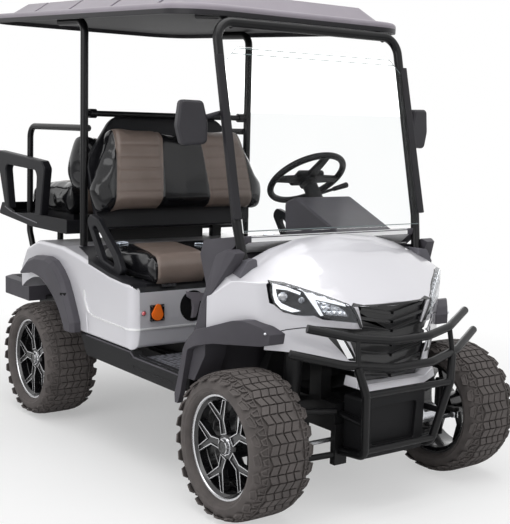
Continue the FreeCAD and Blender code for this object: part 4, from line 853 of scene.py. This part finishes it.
blue_zinc = bright_alloy("blue_passivated_steel", "#8FA3BA", 0.18)
cushion_top = BVHTree.FromObject(seat, bpy.context.evaluated_depsgraph_get())
for number, (u, v, turn) in enumerate(((-425, 8, 20), (-88, -140, -25), (88, -140, 25),
                                       (425, 8, -20))):
    high = cushion_top.ray_cast(Vector((u / 1000, v / 1000, 2)), Vector((0, 0, -1)))[0].z
    buckle = block((0.062, 0.034, 0.013), 0.005, 3)
    top = [face for face in buckle.faces if face.normal.z > 0.99]
    bmesh.ops.inset_region(buckle, faces=top, thickness=0.004, depth=-0.003)
    bmesh.ops.rotate(buckle, verts=buckle.verts,
                     matrix=Matrix.Rotation(math.radians(turn), 3, "Z"))
    bmesh.ops.translate(buckle, verts=buckle.verts, vec=(u / 1000, v / 1000, high + 0.005))
    piece(f"belt_buckle_{number}", buckle, [blue_zinc], "front_seat_cushion",
          40)


# Cabin: a rubber mat with raised chequers on the floor, a soft-grip steering wheel, and the
# plated rack and rods under the floor.
mat_rubber = new_finish("chequered_rubber", {"Roughness": 0.5})
place = object_place(mat_rubber)
# the chequers are 24 mm apart, as on the real mat
studs = add(mat_rubber, "TexVoronoi", {"Vector": place, "Scale": 42.0, "Randomness": 0.35},
            distance="CHEBYCHEV")
raised = add(mat_rubber, "MapRange", {"Value": studs, "From Min": 0.25, "From Max": 0.5,
                                      "To Min": 1.0, "To Max": 0.0})
# the raised chequers are coloured paler than the ground between them: a painted highlight on
# their tops
stud_highlight_tone = add(mat_rubber, "Mix", {0: raised, 6: "#2A2B2F", 7: "#787980"})
mat_relief = add(mat_rubber, "Bump", {"Height": raised, "Strength": 0.8, "Distance": 0.003})
join_to(mat_rubber, Base_Color=stud_highlight_tone, Normal=mat_relief)
MAT_HALF = [(0, -400), (560, -400), (572, -440), (572, -780), (540, -830), (0, -830)]
fitted("floor_mat", tree_of("floor_pan"), mirrored(MAT_HALF), "-Z", -1, 3.5, mat_rubber,
       40)

soft_grip = moulded_plastic("soft_grip_black", "#121214", "#1D1D20", 0.42, 3.0, 0.0004)
dressed("steering_wheel", soft_grip, 1.0)
for name in ("steering_rack", "tie_rods"):
    dressed(name, zinc, 0)

# The wheel's centre pad, a soft cushion-shaped moulding over the boss and tilted with the
# rim, and the moulded grip pressed on the end of the lever beside the column.
WHEEL_CENTRE, WHEEL_TILT = Vector((0.270, -0.470, 1.222)), math.radians(52)
pad = block((0.15, 0.1, 0.03), 0.014, 4)
tilted = Matrix.Rotation(WHEEL_TILT - math.pi / 2, 3, "X")
bmesh.ops.translate(pad, verts=pad.verts, vec=(0, 0, 0.002))
bmesh.ops.rotate(pad, verts=pad.verts, matrix=tilted)
bmesh.ops.translate(pad, verts=pad.verts, vec=WHEEL_CENTRE)
piece("wheel_centre_pad", pad, [soft_grip], "steering_wheel", 40)
LEVER_FOOT, LEVER_END = Vector((0.290, -0.5254, 1.1511)), Vector((0.445, -0.540, 1.192))
GRIP_LONG, GRIP_THIN, GRIP_THICK = 0.085, 0.010, 0.0135
along = (LEVER_END - LEVER_FOOT).normalized()
grip = bmesh.new()
bmesh.ops.create_cone(grip, cap_ends=True, segments=24, radius1=GRIP_THIN, radius2=GRIP_THICK,
                      depth=GRIP_LONG)
ends = [edge for edge in grip.edges if len({round(v.co.z, 4) for v in edge.verts}) == 1]
round_edges(grip, ends, 0.007, 4)
bmesh.ops.rotate(grip, verts=grip.verts, matrix=along.to_track_quat("Z", "Y").to_matrix())
bmesh.ops.translate(grip, verts=grip.verts, vec=LEVER_END - along * (GRIP_LONG / 2 - 0.012))
piece("lever_grip", grip, [soft_grip], "cart", 40)

# Scuttle: the pale painted panel between the hood's rear edge and the foot of the screen,
# bonded to the front of the dash and folded under along its lower half.
for i, outline in enumerate((oblong(-452, 1011, 452, 1034),
                             oblong(-462, 964, 462, 1009.5))):
    fitted(f"scuttle_panel_{i}", tree_of("dashboard"), outline, "+Y", 0.4, 1.6, pearl_and_highlight,
           40)


# Wheel-arch lips and sills: a dark slot of painted shadow across the rear lip's facet, a pale
# strip of painted highlight along the sill's upper edge, and the plated stud at the tip of each
# front lip.
lips = tree_of("front_flares", "rear_flares")
sill = tree_of("floor_pan")
SLOT = [(112, 650), (205, 646), (205, 658), (112, 664)]
for side, where in SIDES:
    # the slot is a strip of painted shadow on the lip's facet
    fitted(f"rear_lip_slot_{where}", lips, SLOT, "-X" if side > 0 else "+X", -1, 2,
           painted_recess_shadow, 20)
    # a pale grey strip along the sill's upper edge: a painted highlight
    fitted(f"sill_highlight_{where}", sill, flipped(oblong(592, -800, 596, 30), side), "-Z", 0.4,
           1.5, trim_grey, 30)
    spot = lips.ray_cast(Vector((side * 0.480, -4, 0.694)), Vector((0, 1, 0)))[0]
    piece(f"lip_stud_{where}", ball(0.006, 16, spot), [zinc], "cart", 60)


# Plates under the rear bench: a folded steel panel with a pressed field and two box posts
# that stand on the body and carry the front of the seat tub.
def plate(low, high):
    """A bevelled plate between two corners, in millimetres."""
    bm = block([(b - a) / 1000 for a, b in zip(low, high)], 0.003, 2)
    bmesh.ops.translate(bm, verts=bm.verts,
                        vec=[(a + b) / 2000 for a, b in zip(low, high)])
    return bm


panel = plate((-278, 404, 850), (278, 418, 1004))
field = [face for face in panel.faces if abs(face.normal.y) > 0.99]
bmesh.ops.inset_individual(panel, faces=field, thickness=0.016, depth=-0.003)
piece("tub_support_panel", panel, [satin_black], "cart", 40)
# the tub's moulded swage along each side, whose upper edge is drawn as a pale strip of painted
# highlight
TUB_GROOVE = [(1186, 984), (1112, 966), (983, 950), (766, 930)]
groove_highlight = moulded_plastic("painted_groove_highlight", "#6E6D72", "#807F84", 0.45)
for side, where in SIDES:
    ends = sorted((side * 340, side * 400))
    post = plate((ends[0], 408, 850), (ends[1], 440, 1000))
    faces = [face for face in post.faces if abs(face.normal.y) > 0.99]
    bmesh.ops.inset_individual(post, faces=faces, thickness=0.012, depth=-0.002)
    piece(f"tub_post_{where}", post, [satin_black], "cart", 40)
    fitted(f"tub_groove_{where}", tree_of("rear_seat_tub"), band(TUB_GROOVE, 6),
           "-X" if side > 0 else "+X", 0.3, 1, groove_highlight, 25)


# Mirrors: dark grey moulded shells with silvered glass on the side that faces the seats, and a
# ribbed tread pad on the rear step.
dressed("mirrors", moulded_plastic("mirror_shell", "#302F33", "#3D3C40", 0.45), 2.5)
silvered = finish("silvered_glass", {"Metallic": 1.0, "Roughness": 0.02},
                  ("#D8DCE0", "#E8EBEE"), (4.0,))
GLASS = [(556, 1392), (632, 1386), (646, 1450), (634, 1524), (566, 1524), (552, 1462)]
heads = tree_of("mirrors")
for side, where in SIDES:
    fitted(f"mirror_glass_{where}", heads, flipped(GLASS, side), "-Y", 0, 1.5, silvered,
           30, 20)
step_top = tree_of("rear_step")
for number in range(9):
    y = 1120 + 34 * number
    fitted(f"step_rib_{number}", step_top, oblong(-360, y, 360, y + 12), "-Z", -1, 3,
           grained, 60)


# Studio: a plain pale floor that fades to white, a white surround and soft lamps. The
# camera stands at the left front corner, a little above the bonnet, as in the photograph.
def ray_share(material, *kinds):
    """1 for the kinds of ray that are named, 0 for all others."""
    rays, share = add(material, "LightPath", {}).node.outputs, 0.0
    for kind in kinds:
        share = add(material, "Math", {0: share, 1: rays[f"Is {kind} Ray"]},
                    operation="MAXIMUM")
    return share


def studio():
    scene = bpy.context.scene
    world = bpy.data.worlds.new("white_room")
    scene.world = world
    world.use_nodes = True
    sky, out = (world.node_tree.nodes[name] for name in ("Background", "World Output"))
    sky.inputs["Color"].default_value = (1, 1, 1, 1)
    sky.inputs["Strength"].default_value = 0.36
    white = add(world, "Background", {"Color": (1, 1, 1, 1), "Strength": 1.0})
    seen = ray_share(world, "Camera", "Transmission", "Glossy")
    room = add(world, "MixShader", {0: seen, 1: sky.outputs[0], 2: white})
    world.node_tree.links.new(room, out.inputs["Surface"])

    floor = bmesh.new()
    bmesh.ops.create_grid(floor, x_segments=1, y_segments=1, size=40)
    mesh = bpy.data.meshes.new("studio_floor")
    floor.to_mesh(mesh)
    floor.free()
    ground = bpy.data.objects.new("studio_floor", mesh)
    scene.collection.objects.link(ground)
    paper = new_finish("matt_white_paper", {"Base Color": linear("#F2F2F2"),
                                            "Roughness": 0.9})
    glow = add(paper, "Emission", {"Strength": 1.0})
    spread = add(paper, "VectorMath", {0: object_place(paper)}, operation="LENGTH")
    fade = add(paper, "MapRange", {"Value": spread.node.outputs["Value"], "From Min": 0.6,
                                   "From Max": 3.2, "To Min": 0.35, "To Max": 1.0})
    seen = add(paper, "Math", {0: ray_share(paper, "Camera", "Transmission"), 1: fade},
               operation="MULTIPLY")
    matt = paper.node_tree.nodes["Principled BSDF"].outputs[0]
    lit = add(paper, "MixShader", {0: seen, 1: matt, 2: glow})
    out = paper.node_tree.nodes["Material Output"]
    paper.node_tree.links.new(lit, out.inputs["Surface"])
    mesh.materials.append(paper)

    lamps = (("sky_panel", (-0.5, -1.0, 5.2), (0, 0, 0.6), 5.0, 190),
             ("left_panel", (-5.0, -1.2, 2.6), (0, 0, 0.8), 3.4, 78),
             ("front_panel", (0.6, -5.6, 2.4), (0, -0.4, 0.7), 3.2, 20),
             ("back_panel", (3.6, 4.2, 3.0), (0, 0, 0.9), 3.0, 45))
    for name, spot, aim, wide, power in lamps:
        lamp = bpy.data.lights.new(name, "AREA")
        lamp.size = wide
        lamp.energy = power
        stand = bpy.data.objects.new(name, lamp)
        stand.location = spot
        stand.rotation_euler = (Vector(aim) - Vector(spot)).to_track_quat("-Z", "Y").to_euler()
        scene.collection.objects.link(stand)


# Where the photograph was taken from, as solved from the wheels and the roof's corners.
EYE, TURNS = (-2.7224, -4.1829, 1.4509), (36.141, 7.457, 1.523)
FOCAL_PIXELS, PHOTO_HEIGHT, SENSOR = 1033.9, 524, 36.0


def photo_camera():
    yaw, pitch, roll = (math.radians(turn) for turn in TURNS)
    ahead = Vector((math.sin(yaw) * math.cos(pitch), math.cos(yaw) * math.cos(pitch),
                    -math.sin(pitch)))
    right = Vector((math.cos(yaw), -math.sin(yaw), 0))
    above = right.cross(ahead)
    across = right * math.cos(roll) + above * math.sin(roll)
    upward = above * math.cos(roll) - right * math.sin(roll)
    lens = bpy.data.cameras.new("photo_camera")
    lens.sensor_width = SENSOR
    lens.sensor_height = SENSOR
    lens.sensor_fit = "VERTICAL"
    lens.lens = SENSOR * FOCAL_PIXELS / PHOTO_HEIGHT
    lens.clip_end = 200
    stand = bpy.data.objects.new("photo_camera", lens)
    frame_axes = Matrix((across, upward, -ahead)).transposed().to_4x4()
    stand.matrix_world = Matrix.Translation(EYE) @ frame_axes
    bpy.context.scene.collection.objects.link(stand)
    bpy.context.scene.camera = stand


studio()
photo_camera()
bpy.context.scene.view_settings.view_transform = "Standard"
